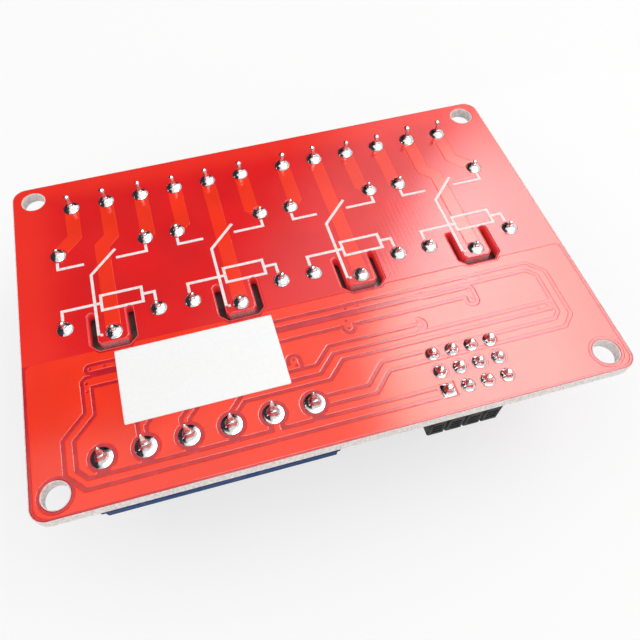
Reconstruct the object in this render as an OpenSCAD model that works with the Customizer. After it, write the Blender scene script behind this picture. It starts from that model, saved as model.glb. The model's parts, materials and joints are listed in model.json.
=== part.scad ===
// Four channel relay module board, lying component side down on its four relays.
// Millimetres, +Z up through the solder side, origin under the middle of the board
// on the plane of the relay tops. "Height" in a component is counted from the board
// down to the resting plane.

/* [Board] */
// Board length along X
board_l = 73; // [72.6:0.2:76]
// Board width along Y
board_w = 50; // [49.6:0.2:52]
// Laminate thickness without its lacquer films
core_t = 1.5; // [1:0.1:2]
// Lacquer film on each face
mask_t = 0.05; // [0.04:0.01:0.08]
// Step of the lacquer where copper lies under it
relief_t = 0.05; // [0.04:0.01:0.08]
// Board corner radius
corner_r = 2; // [1:0.25:2.5]
// Mounting hole diameter
mount_d = 3.2; // [2.8:0.1:3.4]
// Mounting hole centre from each short edge
mount_in_x = 3; // [2.8:0.1:3.2]
// Mounting hole centre from each long edge
mount_in_y = 2.75; // [2.6:0.05:2.9]
// Lacquer pulled back from edges and holes
mask_back = 0.22; // [0.1:0.02:0.3]

/* [Relays] */
// Relay width along X
relay_w = 15.4; // [15:0.1:16]
// Relay length along Y
relay_l = 19.2; // [18.6:0.1:19.6]
// Relay height from the board
relay_h = 15.3; // [14.8:0.1:17]
// Relay spacing along X
relay_pitch = 16.5; // [16.2:0.1:16.6]
// Clearance between the output housings and the relays
relay_gap = 2; // [1.8:0.1:2.3]
// Coil pins beyond the common pin
coil_dy = 2; // [1.9:0.05:2.1]
// Contact pins beyond the common pin
contact_dy = 14.2; // [14:0.1:14.3]
// Coil and contact pins either side of the relay centre
relay_pin_dx = 6; // [5.8:0.1:6.1]
// Depth of the resin base set into the case mouth
resin_t = 1.2; // [0.8:0.1:2]
// Wall of the case round the resin base
case_wall = 0.9; // [0.7:0.1:1.2]
// Upright corner radius of the case
case_r = 0.8; // [0.4:0.1:1.2]
// Bevel round the case top
case_bevel = 0.4; // [0.2:0.1:0.8]
// Vent dimple diameter
vent_d = 1.4; // [1:0.1:1.8]
// Vent dimple centre from both case sides
vent_in = 2.2; // [1.8:0.1:3]

/* [Isolation slots] */
// Routed slot width
slot_w = 0.95; // [0.8:0.05:1.05]
// Slot centre lines either side of the tongue centre
slot_dx = 2.475; // [2.4:0.025:2.55]
// Tongue centre from the common pin along X
slot_off = -0.15; // [-0.2:0.05:0]

/* [Terminals] */
// Spacing of the wire ways
way_pitch = 5; // [4.96:0.02:5.04]
// Housing depth along Y
term_depth = 7.6; // [7.4:0.1:7.8]
// Housing height from the board
term_h = 10; // [9.8:0.1:10.6]
// Output pins from the far board edge
out_in = 5.5; // [5.2:0.1:5.7]
// Gap between the two middle output housings
out_gap = 1.5; // [1.2:0.1:1.8]
// Input pins from the near board edge
in_in = 5.7; // [5.5:0.1:5.9]
// First input pin along X
in_x0 = -28.1; // [-28.3:0.1:-28]
// Wire entry width
entry_w = 3.4; // [3:0.1:3.6]
// Wire entry height
entry_h = 3.6; // [3.2:0.1:3.8]
// Flare of the wire entry mouth on each side
flare = 0.4; // [0.2:0.05:0.5]
// Clamp cage width
cage_w = 4; // [3.9:0.05:4.1]
// Clamp cage length along the wire
cage_l = 4.4; // [4.2:0.1:4.6]
// Clamp cage height
cage_h = 6.2; // [6:0.1:6.4]
// Clamp cage sheet thickness
cage_t = 0.6; // [0.5:0.05:0.7]
// Screw shank diameter
screw_d = 2.6; // [2.4:0.1:2.8]
// Screw head diameter
head_d = 3.6; // [3.4:0.1:3.7]
// Screw head height
head_h = 1.5; // [1.3:0.1:1.6]
// Screw head below the housing top
head_sunk = 0.4; // [0.3:0.1:0.6]
// Screwdriver slot width
drive_w = 0.7; // [0.5:0.05:0.9]
// Screwdriver slot depth
drive_d = 0.8; // [0.6:0.05:1]

/* [Pins and joints] */
// Terminal lead width
lead_w = 0.9; // [0.8:0.05:0.95]
// Terminal lead thickness
lead_t = 0.5; // [0.4:0.05:0.6]
// Terminal leads above the solder side
lead_out = 2.5; // [1.8:0.1:2.8]
// Relay pins above the solder side
relay_out = 1.5; // [1.2:0.1:1.8]
// Relay pin width
rpin_w = 0.9; // [0.8:0.05:0.95]
// Relay pin thickness
rpin_t = 0.4; // [0.35:0.05:0.5]
// Drilled hole for terminal leads and relay pins
drill_d = 1.3; // [1.2:0.05:1.4]
// Output terminal pad diameter
out_pad_d = 2.3; // [2.1:0.1:2.5]
// Relay pad diameter
relay_pad_d = 2.2; // [2:0.1:2.4]
// Input terminal pad diameter
in_pad_d = 2.6; // [2.4:0.1:2.8]
// Solder height at the output leads
out_joint_h = 0.9; // [0.7:0.05:1.2]
// Solder height at the relay pins
relay_joint_h = 0.85; // [0.7:0.05:1.1]
// Solder height at the input leads
in_joint_h = 1.2; // [0.9:0.05:1.4]

/* [Pin header] */
// Header pin spacing
pin_pitch = 2.54; // [2.5:0.01:2.56]
// Header pin thickness
pin_t = 0.64; // [0.6:0.02:0.66]
// Header pins above the solder side
pin_out = 1.1; // [0.9:0.1:1.4]
// Header pins beyond the plastic base
pin_up = 6; // [5.6:0.1:6.2]
// Header base height
hdr_h = 2.54; // [2.3:0.02:2.6]
// First header column along X
hdr_x0 = 12.75; // [12.6:0.05:12.9]
// Near header row from the near board edge
hdr_in = 3.07; // [3:0.01:3.2]
// Header drilled hole
hdr_drill_d = 1.05; // [1:0.05:1.1]
// Header pad diameter
hdr_pad_d = 1.7; // [1.6:0.05:1.8]
// Solder height at the header pins
hdr_joint_h = 0.85; // [0.6:0.05:0.9]
// Jumper cap width along X
cap_w = 2.4; // [2.2:0.05:2.46]
// Jumper cap length along Y
cap_l = 4.98; // [4.8:0.02:5.04]
// Jumper cap height
cap_h = 6.8; // [6.6:0.1:7.4]
// Jumper cap wall at the closed end
cap_top = 0.7; // [0.5:0.05:0.75]

/* [Surface] */
// Switched current track width
track_w = 2; // [1.8:0.1:2.1]
// Gap between copper areas
gap_w = 0.42; // [0.36:0.02:0.5]
// Clear ring round an input pad
ring_w = 0.42; // [0.36:0.02:0.46]
// Printed line width
ink_w = 0.4; // [0.3:0.02:0.46]
// Printed line thickness
ink_t = 0.03; // [0.02:0.01:0.04]
// Label length along X
label_l = 20.1; // [19:0.1:20.3]
// Label width along Y
label_w = 10.1; // [9.6:0.1:10.2]
// Label thickness
label_t = 0.1; // [0.06:0.02:0.16]
// Label corner radius
label_r = 0.15; // [0.05:0.05:0.5]

/* [Hidden] */
$fn = 48;
channels = 4;                    // relays, output terminals and jumper caps
out_ways = 3;
in_ways = 6;
rows = 3;                        // header rows
fit = 0.02;                      // side clearance of pressed and soldered fits
slip = 0.05;                     // side clearance of loose fits
far = board_w / 2;
near = -board_w / 2;
z_under = relay_h;               // component side surface
z_core = z_under + mask_t;       // bare laminate, component side
z_top = z_core + core_t;         // bare laminate, solder side
z_face = z_top + mask_t;         // solder side surface
z_cu = z_face + relief_t;        // solder side surface over copper
out_y = far - out_in;
in_y = near + in_in;
relay_y1 = out_y - term_depth / 2 - relay_gap;   // far face of the relays
relay_y0 = relay_y1 - relay_l;   // near face of the relays
relay_yc = relay_y1 - relay_l / 2;
com_y = relay_yc - contact_dy / 2;               // pins are centred along the case
coil_y = com_y + coil_dy;
contact_y = com_y + contact_dy;
block_l = out_ways * way_pitch;
mount_x = board_l / 2 - mount_in_x;
mount_y = board_w / 2 - mount_in_y;
slot_end = com_y + 3.03;         // centre of the round slot ends
slot_low = com_y - 1.875;        // centre line across the tongue
slot_cut = 0.75;                 // corner cut of the slot
pour_top = com_y - 2.2;          // ground area boundary toward the relays
pour_in = 0.5;                   // ground area in from the board edges
label_x = -15.05;
label_y = pour_top - 0.8 - label_w / 2;
hdr_x1 = hdr_x0 + (channels - 1) * pin_pitch;
ledge = term_h - head_sunk - head_h;   // seat of the screw heads
cage_top = cage_h + slip;

function relay_x(k) = (k - (channels - 1) / 2) * relay_pitch;
function block_x(k) = (k < 2 ? -1 : 1) * (out_gap / 2 + block_l * (k == 0 || k == 3 ? 1.5 : 0.5));
function way_x(i, n) = (i - (n - 1) / 2) * way_pitch;
function in_x(i) = in_x0 + i * way_pitch;
function hdr_x(i) = hdr_x0 + i * pin_pitch;
function hdr_y(j) = near + hdr_in + j * pin_pitch;
function relay_pins(k) = [
    [relay_x(k) - relay_pin_dx, contact_y], [relay_x(k) + relay_pin_dx, contact_y],
    [relay_x(k) - relay_pin_dx, coil_y], [relay_x(k) + relay_pin_dx, coil_y],
    [relay_x(k), com_y]];
all_relay_pins = [for (k = [0 : channels - 1]) for (p = relay_pins(k)) p];
all_out_pins = [for (k = [0 : channels - 1]) for (i = [0 : out_ways - 1])
    [block_x(k) + way_x(i, out_ways), out_y]];
all_in_pins = [for (i = [0 : in_ways - 1]) [in_x(i), in_y]];
all_hdr_pins = [for (i = [0 : channels - 1]) for (j = [0 : rows - 1]) [hdr_x(i), hdr_y(j)]];
mounts = [for (sx = [-1, 1]) for (sy = [-1, 1]) [sx * mount_x, sy * mount_y]];

// Mitred outline of a line through points p, width w
function unit(v) = v / norm(v);
function across(v) = [-v[1], v[0]];
function rev(v) = [for (i = [len(v) - 1 : -1 : 0]) v[i]];
function side(p, h) = [for (i = [0 : len(p) - 1])
    let (a = unit(i == 0 ? p[1] - p[0] : p[i] - p[i - 1]),
         b = unit(i == len(p) - 1 ? p[i] - p[i - 1] : p[i + 1] - p[i]),
         m = unit(across(a) + across(b)))
    p[i] + m * h / (m * across(a))];

module stroke(p, w) polygon(concat(side(p, w / 2), rev(side(p, -w / 2))));

module rect(x0, y0, x1, y1) translate([x0, y0]) square([x1 - x0, y1 - y0]);

module rrect(l, w, r) {
    square([l - 2 * r, w], center = true);
    square([l, w - 2 * r], center = true);
    for (x = [-1, 1]) for (y = [-1, 1]) translate([x * (l / 2 - r), y * (w / 2 - r)]) circle(r);
}

module at(points) for (p = points) translate(p) children();

module half_ring(x, y, r, turn) translate([x, y]) rotate(turn) difference() {
    circle(r + gap_w / 2);
    circle(r - gap_w / 2);
    rect(-2 * r, -2 * r, 2 * r, 0);
}

// Component frame: hangs from the component side, height grows downward
module hang(x, y) translate([x, y, z_under]) rotate([0, 180, 0]) children();

module box(x0, y0, z0, x1, y1, z1) translate([x0, y0, z0]) cube([x1 - x0, y1 - y0, z1 - z0]);

// ---------------------------------------------------------------- board

// Path of the routed slot round a common pin, w wide
module slot_shape(k, w) {
    c = relay_x(k) + slot_off;
    p = [[c - slot_dx, slot_end], [c - slot_dx, slot_low + slot_cut], [c - slot_dx + slot_cut, slot_low],
         [c + slot_dx - slot_cut, slot_low], [c + slot_dx, slot_low + slot_cut], [c + slot_dx, slot_end]];
    stroke(p, w);
    at([p[0], p[5]]) circle(w / 2);
}

module outline_2d(back) difference() {
    rrect(board_l - 2 * back, board_w - 2 * back, corner_r - back);
    at(mounts) circle(mount_d / 2 + back);
    for (k = [0 : channels - 1]) slot_shape(k, slot_w + 2 * back);
}

module drills_2d(extra) {
    at(concat(all_out_pins, all_relay_pins, all_in_pins)) circle(drill_d / 2 + extra);
    at(all_hdr_pins) circle(hdr_drill_d / 2 + extra);
}

// Solder pads; the first near header pad is square
module pads_2d(extra) {
    at(all_out_pins) circle(out_pad_d / 2 + extra);
    at(all_relay_pins) circle(relay_pad_d / 2 + extra);
    at(all_in_pins) circle(in_pad_d / 2 + extra);
    at([for (p = all_hdr_pins) if (p != all_hdr_pins[0]) p]) circle(hdr_pad_d / 2 + extra);
    translate(all_hdr_pins[0]) square(hdr_pad_d + 2 * extra, center = true);
}

module board_core() color([0.80, 0.77, 0.66])
    translate([0, 0, z_core]) linear_extrude(core_t) difference() {
        outline_2d(0);
        drills_2d(0);
    }

module mask_solder_side() color([0.86, 0.12, 0.12])
    translate([0, 0, z_top]) linear_extrude(mask_t) difference() {
        outline_2d(mask_back * 0.5);
        pads_2d(fit);
    }

module mask_component_side() color([0.86, 0.12, 0.12])
    translate([0, 0, z_under]) linear_extrude(mask_t) difference() {
        outline_2d(mask_back * 0.5);
        drills_2d(fit);
        small_pads_2d(fit);
    }

// ---------------------------------------------------------------- copper under lacquer

// From a terminal way straight down, across at 45 degrees, then straight to a relay pin
module switched_track(a, b, bend) {
    d = abs(b[0] - a[0]);
    stroke(concat([[a[0], a[1] + out_pad_d / 2 + 0.3], [a[0], bend]],
        d > 0.01 ? [[b[0], bend - d]] : [], [[b[0], b[1] - 0.9]]), track_w);
}

module power_tracks_2d() difference() {
    for (k = [0 : channels - 1]) {
        p = relay_pins(k);
        for (i = [0 : out_ways - 1]) {
            a = [block_x(k) + way_x(i, out_ways), out_y];
            switched_track(a, i == 0 ? p[0] : i == 1 ? p[4] : p[1],
                contact_y + (i == 1 ? 1.6 : 0.25 + abs(p[i == 0 ? 0 : 1][0] - a[0])));
        }
    }
    pads_2d(0.12);
    for (k = [0 : channels - 1]) slot_shape(k, slot_w + 2 * mask_back);
}

module power_tracks() color([0.97, 0.24, 0.14])
    translate([0, 0, z_face]) linear_extrude(relief_t) power_tracks_2d();

// Gaps that divide the copper of the logic half
module logic_gaps_2d() {
    a = pour_top - 1.9;            // first long gap
    b = a - 1.3;                   // broad double gap
    c = a - 3.05;                  // third long gap
    d = near + 2.45;               // nearest long gap
    e = near + 3.7;
    i6 = in_x(5);
    // outer supply loop, round the right end and back to the last input pad
    stroke([[-28.3, a], [30, a], [32, a - 2], [32, in_y + 3.2], [30.5, in_y + 1.7],
        [6.9, in_y + 1.7], [4.5, in_y - 0.7], [i6, in_y - 0.7]], gap_w);
    stroke([[14.5, b + 0.1], [29.5, b + 0.1], [30.6, b - 1], [30.6, in_y + 4],
        [29.7, in_y + 3.1], [6.4, in_y + 3.1], [3.85, in_y + 0.55], [i6, in_y + 0.55]], gap_w);
    stroke([[-28.3, b], [15, b]], 2 * gap_w);
    half_ring(-28.3, (a + b) / 2 + gap_w / 4, (a - b) / 2 - gap_w / 4, 90);
    // left hand pair, down past the mounting hole and along the near edge
    stroke([[-28.2, b - 0.3], [-29, b - 0.3], [-29.45, b - 0.75], [-29.45, b - 4.9], [-32.3, b - 7.75],
        [-32.3, near + 4.6], [-30.2, d], [12.2, d]], gap_w);
    stroke([[-24, c], [-28.3, c], [-28.3, c - 3.7], [-31, c - 6.4], [-31, near + 4.9],
        [-29.8, e], [12.2, e]], gap_w);
    // third gap with its two loops round plated holes
    stroke([[-6, c], [3.3, c]], gap_w);
    half_ring(4.05, c - 0.25, 0.75, 180);
    rect(3.09, c - 0.3, 3.51, c + 0.2);
    rect(4.59, c - 0.3, 5.01, c + 0.2);
    stroke([[4.8, c], [20.2, c]], gap_w);
    stroke([[14.5, b - 0.35], [20.75, b - 0.35]], gap_w);
    half_ring(20.75, c - 0.55, 0.75, 180);
    rect(19.79, c - 0.6, 20.21, c + 0.2);
    rect(21.29, c - 0.6, 21.71, b - 0.9);
    translate([20.75, b - 0.9]) intersection() {
        difference() {
            circle(0.96);
            circle(0.54);
        }
        square(2);
    }
    // three parallel signal gaps
    stroke([[-6, c - 4.35], [-1.4, c - 4.35], [0.75, c - 2.2], [12.3, c - 2.2]], gap_w);
    stroke([[-6, c - 5.6], [-1.2, c - 5.6], [1, c - 3.4], [30.6, c - 3.4]], gap_w);
    stroke([[in_x(3) + 0.8, in_y + 1.15], [in_x(3) + 2.1, in_y + 2.45], [-0.3, in_y + 2.45],
        [1.9, in_y + 4.65], [30.6, in_y + 4.65]], gap_w);
    half_ring(-3.95, c - 3, 0.75, 0);
    rect(-4.91, c - 3.5, -4.49, c - 3);
    rect(-3.41, c - 4.2, -2.99, c - 3);
    half_ring(12.6, c - 2.35, 0.9, -90);
    // leads from the input pads
    stroke([[in_x(3) - 0.2, in_y + 1.2], [in_x(3) + 2.2, in_y + 3.6]], gap_w);
    stroke([[in_x(2) - 0.6, in_y + 1], [in_x(2) - 0.6, in_y + 2.3], [in_x(2) + 0.7, in_y + 3.6]], gap_w);
    stroke([[in_x(2) + 0.4, in_y + 1], [in_x(2) + 0.4, in_y + 2], [in_x(2) + 2, in_y + 3.6]], gap_w);
    stroke([[in_x(1) - 0.6, in_y + 1], [in_x(1) - 0.6, in_y + 3.6]], gap_w);
    stroke([[in_x(1) + 0.35, in_y + 1], [in_x(1) + 0.35, in_y + 2.5], [in_x(1) + 1.4, in_y + 3.55]], gap_w);
    // clear rings and their necks
    at(all_in_pins) circle(in_pad_d / 2 + ring_w);
    at(all_in_pins) rect(-0.7, e - in_y, 0.7, -1.2);
    translate([in_x(4), 0]) rect(-0.95, e, 0.95, in_y - 1.2);
    at([for (i = [0 : channels - 1]) [hdr_x(i), hdr_y(1)]]) circle(hdr_pad_d / 2 + 0.28);
}

vias = [[-28.3, -2.4], [-26.5, -2.4], [4.5, -2.45], [6.1, -2.45], [21.2, -2.45], [23, -2.45],
    [-28.9, -4.3], [-28.9, -5.4], [4.05, -4.25], [4.05, -5.35], [20.75, -4.3], [20.75, -5.4],
    [-3.95, -7.8], [-3.8, -8.7], [12.5, -7], [12.65, -7.8], [28.4, -8.9], [29.6, -8.9]];

module ground_area_2d() {
    difference() {
        ground_outline_2d(board_l / 2 - pour_in, near + 0.35, pour_top, corner_r - 0.35, 0.8);
        logic_gaps_2d();
        at(mounts) circle(mount_d / 2 + 0.5);
        for (k = [0 : channels - 1]) slot_shape(k, slot_w + 0.7);
        pads_2d(0.08);
        for (v = vias) translate([v[0], pour_top + v[1]]) circle(0.19);
    }
    // thermal spoke of the fifth input pad
    translate([in_x(4), 0]) rect(-0.4, near + 3.3, 0.4, in_y - in_pad_d / 2 - 0.08);
}

// Rectangle to x either side from y0 to y1, near corners of radius a and far corners of radius b
module ground_outline_2d(x, y0, y1, a, b) {
    rect(-x, y0 + a, x, y1 - b);
    rect(-x + a, y0, x - a, y1 - b);
    rect(-x + b, y0 + a, x - b, y1);
    for (s = [-1, 1]) {
        translate([s * (x - a), y0 + a]) circle(a);
        translate([s * (x - b), y1 - b]) circle(b);
    }
}

module ground_area() color([0.97, 0.24, 0.14])
    translate([0, 0, z_face]) linear_extrude(relief_t) ground_area_2d();

// ---------------------------------------------------------------- print and label

// Relay symbol: contact stubs, moving arm and coil box with its leads
module relay_symbol_2d() {
    y = com_y;
    stroke([[-6.2, contact_y - 1.3], [-6.2, contact_y - 2.45], [-2.7, contact_y - 2.45]], ink_w);
    stroke([[5.85, contact_y - 1.3], [5.85, contact_y - 2.45], [1.65, contact_y - 2.45]], ink_w);
    stroke([[1.7, contact_y - 0.9], [-1.95, y + 9.65], [-1.95, y - 0.1]], ink_w);
    rect(-1.95 + ink_w / 2, y - 0.3, -1.4, y + 0.05);
    difference() {
        rect(-1.3, y + 3.4, 4.45, y + 6.15);
        rect(-1.3 + ink_w, y + 3.4 + ink_w, 4.45 - ink_w, y + 6.15 - ink_w);
    }
    stroke([[-1.3, y + 4.75], [-6.2, y + 4.75], [-6.2, coil_y + 1.25]], ink_w);
    stroke([[4.45, y + 4.75], [5.85, y + 4.75], [5.85, coil_y + 1.25]], ink_w);
}

module print_2d() difference() {
    for (k = [0 : channels - 1]) translate([relay_x(k), 0]) relay_symbol_2d();
    for (k = [0 : channels - 1]) slot_shape(k, slot_w);
    pads_2d(0.04);
}

// Flush on top, so it is thicker where no copper lies under it
module printed_symbols() color([0.96, 0.95, 0.93])
    difference() {
        translate([0, 0, z_face]) linear_extrude(relief_t + ink_t) print_2d();
        translate([0, 0, z_face]) linear_extrude(relief_t) power_tracks_2d();
    }

module label_sticker() color([0.97, 0.97, 0.96])
    translate([label_x, label_y, z_cu]) linear_extrude(label_t) rrect(label_l, label_w, label_r);

// ---------------------------------------------------------------- leads and joints

// Flat lead with a narrowed tip, h high from z = 0
module flat_lead(w, t, h) {
    tip = 0.5;
    translate([-w / 2, -t / 2, 0]) cube([w, t, h - tip]);
    translate([0, 0, h - tip]) linear_extrude(tip, scale = [0.5, 0.6], slices = 1, $fn = 4)
        square([w, t], center = true);
}

// Outline of solder from the pad edge up to the lead: a full joint is a dome with a collar,
// a lean one sweeps up in a hollow curve
foot = mask_t + 0.06;            // rim of a joint on its pad
dome = 0.65;                     // dome height as a share of the whole joint
function full_side(r, neck, h) = concat(
    [for (a = [0 : 15 : 75]) [neck + (r - neck) * cos(a), foot + (h - foot) * dome * sin(a)]],
    [[neck + 0.05, foot + (h - foot) * 0.8], [neck, h]]);
function lean_side(r, neck, h) =
    [for (u = [0 : 0.2 : 1]) [neck + (r - neck) * pow(1 - u, 2), foot + (h - foot) * pow(u, 1.5)]];

// Solder round a w x t lead, pad radius r, h high, with the plug in the hole
module joint(r, h, w, t, drill, full) {
    neck = norm([w, t]) / 2 + 0.08;
    difference() {
        union() {
            translate([0, 0, z_top]) rotate_extrude() polygon(concat([[0, 0], [r, 0]],
                full ? full_side(r, neck, h) : lean_side(r, neck, h), [[0, h]]));
            translate([0, 0, z_under]) cylinder(d = drill - 2 * fit, h = z_top - z_under + 0.01);
        }
        translate([0, 0, z_under - 1]) linear_extrude(h + 6)
            square([w + 2 * fit, t + 2 * fit], center = true);
    }
}

module output_joints() color([0.82, 0.83, 0.85])
    at(all_out_pins) joint(out_pad_d / 2, out_joint_h, lead_w, lead_t, drill_d, true);

module relay_joints() color([0.82, 0.83, 0.85])
    at(all_relay_pins) joint(relay_pad_d / 2, relay_joint_h, rpin_w, rpin_t, drill_d, true);

module input_joints() color([0.82, 0.83, 0.85])
    at(all_in_pins) joint(in_pad_d / 2, in_joint_h, lead_w, lead_t, drill_d, false);

module header_joints() color([0.82, 0.83, 0.85]) {
    at([for (p = all_hdr_pins) if (p != all_hdr_pins[0]) p])
        joint(hdr_pad_d / 2, hdr_joint_h, pin_t, pin_t, hdr_drill_d, false);
    translate(all_hdr_pins[0]) {
        joint(hdr_pad_d / 2 - 0.01, hdr_joint_h, pin_t, pin_t, hdr_drill_d, false);
        translate([0, 0, z_top]) linear_extrude(mask_t) difference() {
            square(hdr_pad_d, center = true);
            circle(hdr_pad_d / 2 - 0.3);
        }
    }
}

// ---------------------------------------------------------------- relays

module relay_case(k) color([0.10, 0.33, 0.72]) hang(relay_x(k), relay_yc) difference() {
    union() {
        linear_extrude(relay_h - case_bevel) rrect(relay_w, relay_l, case_r);
        translate([0, 0, relay_h - case_bevel]) linear_extrude(case_bevel, slices = 1,
            scale = [1 - 2 * case_bevel / relay_w, 1 - 2 * case_bevel / relay_l])
            rrect(relay_w, relay_l, case_r);
    }
    // mouth for the resin base
    translate([0, 0, -1]) linear_extrude(resin_t + 1)
        square([relay_w - 2 * case_wall, relay_l - 2 * case_wall], center = true);
    // vent dimple in one corner of the top
    translate([relay_w / 2 - vent_in, relay_l / 2 - vent_in, relay_h - 0.25]) cylinder(d = vent_d, h = 1);
}

module relay_base(k) color([0.13, 0.13, 0.15]) difference() {
    hang(relay_x(k), relay_yc) linear_extrude(resin_t)
        square([relay_w - 2 * case_wall - 2 * fit, relay_l - 2 * case_wall - 2 * fit], center = true);
    for (p = relay_pins(k)) translate([p[0], p[1], z_under - resin_t - 1]) linear_extrude(resin_t + 2)
        square([rpin_w + 2 * fit, rpin_t + 2 * fit], center = true);
}

module relay_leads(k) color([0.78, 0.76, 0.72])
    for (p = relay_pins(k)) translate([p[0], p[1], z_under - resin_t])
        flat_lead(rpin_w, rpin_t, resin_t + z_face - z_under + relay_out);

// ---------------------------------------------------------------- screw terminals

// Side outline of a housing, wire side toward +X of the drawing
module housing_side_2d() {
    d = term_depth / 2;
    polygon([[-d, 0], [d, 0], [d, term_h * 0.62], [d - 0.5, term_h * 0.68], [d - 0.9, term_h],
        [-d + 1.1, term_h], [-d + 0.5, term_h * 0.74], [-d, term_h * 0.68]]);
}

// Housing for n ways with its wire entries toward +Y
module housing(n) difference() {
    rotate([90, 0, 90]) translate([0, 0, -n * way_pitch / 2 + fit])
        linear_extrude(n * way_pitch - 2 * fit) housing_side_2d();
    for (i = [0 : n - 1]) translate([way_x(i, n), 0, 0]) {
        // chamber for the cage, open to the board
        box(-cage_w / 2 - slip, -cage_l / 2 - slip, -1, cage_w / 2 + slip, cage_l / 2 + slip, cage_top);
        // wire entry with a flared mouth
        box(-entry_w / 2, 0, cage_t, entry_w / 2, term_depth, cage_t + entry_h);
        translate([0, term_depth / 2, cage_t + entry_h / 2]) rotate([90, 0, 0])
            translate([0, 0, -0.3]) linear_extrude(2 * flare, slices = 1, $fn = 4,
                scale = [(entry_w - 0.2) / (entry_w + 2 * flare), (entry_h - 0.2) / (entry_h + 2 * flare)])
                square([entry_w + 2 * flare, entry_h + 2 * flare], center = true);
        // well and passage for the screw
        translate([0, 0, ledge]) cylinder(d = head_d + 4 * slip, h = term_h);
        translate([0, 0, cage_top - 0.5]) cylinder(d = screw_d + 4 * slip, h = term_h);
    }
    // break lines between the ways
    if (n > 1) for (i = [1 : n - 1]) translate([way_x(i, n) - way_pitch / 2, 0, 0])
        for (s = [-1, 1]) translate([0, s * (term_depth / 2), -1]) rotate(45)
            translate([-0.2, -0.2, 0]) cube([0.4, 0.4, term_h + 2]);
}

// Cage and lead of one way, standing on the board
module cage() {
    difference() {
        box(-cage_w / 2, -cage_l / 2, 0, cage_w / 2, cage_l / 2, cage_h);
        box(-cage_w / 2 + cage_t, -cage_l, cage_t, cage_w / 2 - cage_t, cage_l, cage_h - cage_t * 1.6);
        cylinder(d = screw_d + 2 * fit, h = cage_h + 1);
    }
    rotate([180, 0, 0]) translate([0, 0, -cage_t / 2])
        flat_lead(lead_w, lead_t, cage_t / 2 + z_face - z_under + lead_out);
}

module cages(n) for (i = [0 : n - 1]) translate([way_x(i, n), 0, 0]) cage();

module screw() difference() {
    union() {
        translate([0, 0, ledge]) cylinder(d = head_d, h = head_h);
        translate([0, 0, cage_h - 2.6]) cylinder(d = screw_d, h = ledge - cage_h + 2.61);
    }
    box(-head_d, -drive_w / 2, ledge + head_h - drive_d, head_d, drive_w / 2, ledge + head_h + 1);
}

module out_housing(k) color([0.12, 0.36, 0.62]) hang(block_x(k), out_y) housing(out_ways);
module out_cages(k) color([0.72, 0.73, 0.74]) hang(block_x(k), out_y) cages(out_ways);

in_mid = in_x(0) + (in_ways - 1) * way_pitch / 2;

module in_housing() color([0.12, 0.36, 0.62]) hang(in_mid, in_y) rotate(180) housing(in_ways);
module in_cages() color([0.72, 0.73, 0.74]) hang(in_mid, in_y) cages(in_ways);

module terminal_screws() color([0.80, 0.78, 0.72])
    for (p = concat(all_out_pins, all_in_pins)) hang(p[0], p[1]) screw();

// ---------------------------------------------------------------- pin header and caps

module header_base() color([0.09, 0.09, 0.10])
    translate([0, 0, z_under - hdr_h]) linear_extrude(hdr_h) difference() {
        rect(hdr_x0 - pin_pitch / 2, hdr_y(0) - pin_pitch / 2,
            hdr_x1 + pin_pitch / 2, hdr_y(rows - 1) + pin_pitch / 2);
        at(all_hdr_pins) square(pin_t + 2 * fit, center = true);
        for (i = [0 : channels]) for (j = [0, rows])
            translate([hdr_x(i - 0.5), hdr_y(j - 0.5)]) rotate(45) square(0.6, center = true);
        for (i = [0, channels]) for (j = [1 : rows - 1])
            translate([hdr_x(i - 0.5), hdr_y(j - 0.5)]) rotate(45) square(0.6, center = true);
    }

module header_pins() color([0.82, 0.68, 0.32])
    for (p = all_hdr_pins) translate([p[0], p[1], z_under]) {
        tip = 0.35;
        low = -hdr_h - pin_up;
        high = z_face - z_under + pin_out;
        translate([-pin_t / 2, -pin_t / 2, low + tip]) cube([pin_t, pin_t, high - low - 2 * tip]);
        translate([0, 0, high - tip]) linear_extrude(tip, scale = 0.55, slices = 1)
            square(pin_t, center = true);
        translate([0, 0, low + tip]) rotate([180, 0, 0]) linear_extrude(tip, scale = 0.55, slices = 1)
            square(pin_t, center = true);
    }

cap_y = (hdr_y(0) + hdr_y(1)) / 2;
cap_in = 0.75;                   // half width of the cap cavity
cap_end = 0.42;                  // end wall of the cap
leaf_l = cap_l - 2 * cap_end - 0.24;   // contact leaf along the cap
leaf_h = 4;
leaf_up = 1;                     // contact leaf above the header base

// Cap over the two near pins of a column, standing on the header base
module jumper_cap(k) color([0.07, 0.07, 0.08]) hang(hdr_x(k), cap_y) translate([0, 0, hdr_h])
    difference() {
        linear_extrude(cap_h) rrect(cap_w, cap_l, 0.25);
        box(-cap_in, -cap_l / 2 + cap_end, -1, cap_in, cap_l / 2 - cap_end, cap_h - cap_top);
        // grip grooves across both ends
        for (s = [-1, 1]) for (i = [0 : 2]) translate([0, s * cap_l / 2, cap_h - 1 - i * 0.8])
            cube([1.4, 0.24, 0.4], center = true);
    }

module jumper_leaves() color([0.80, 0.70, 0.42])
    for (k = [0 : channels - 1]) hang(hdr_x(k), cap_y) translate([0, 0, hdr_h + leaf_up])
        for (s = [-1, 1]) translate([s * (pin_t / 2 + cap_in) / 2, 0, leaf_h / 2])
            cube([cap_in - pin_t / 2 - 2 * fit, leaf_l, leaf_h], center = true);

// ---------------------------------------------------------------- small parts

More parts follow.
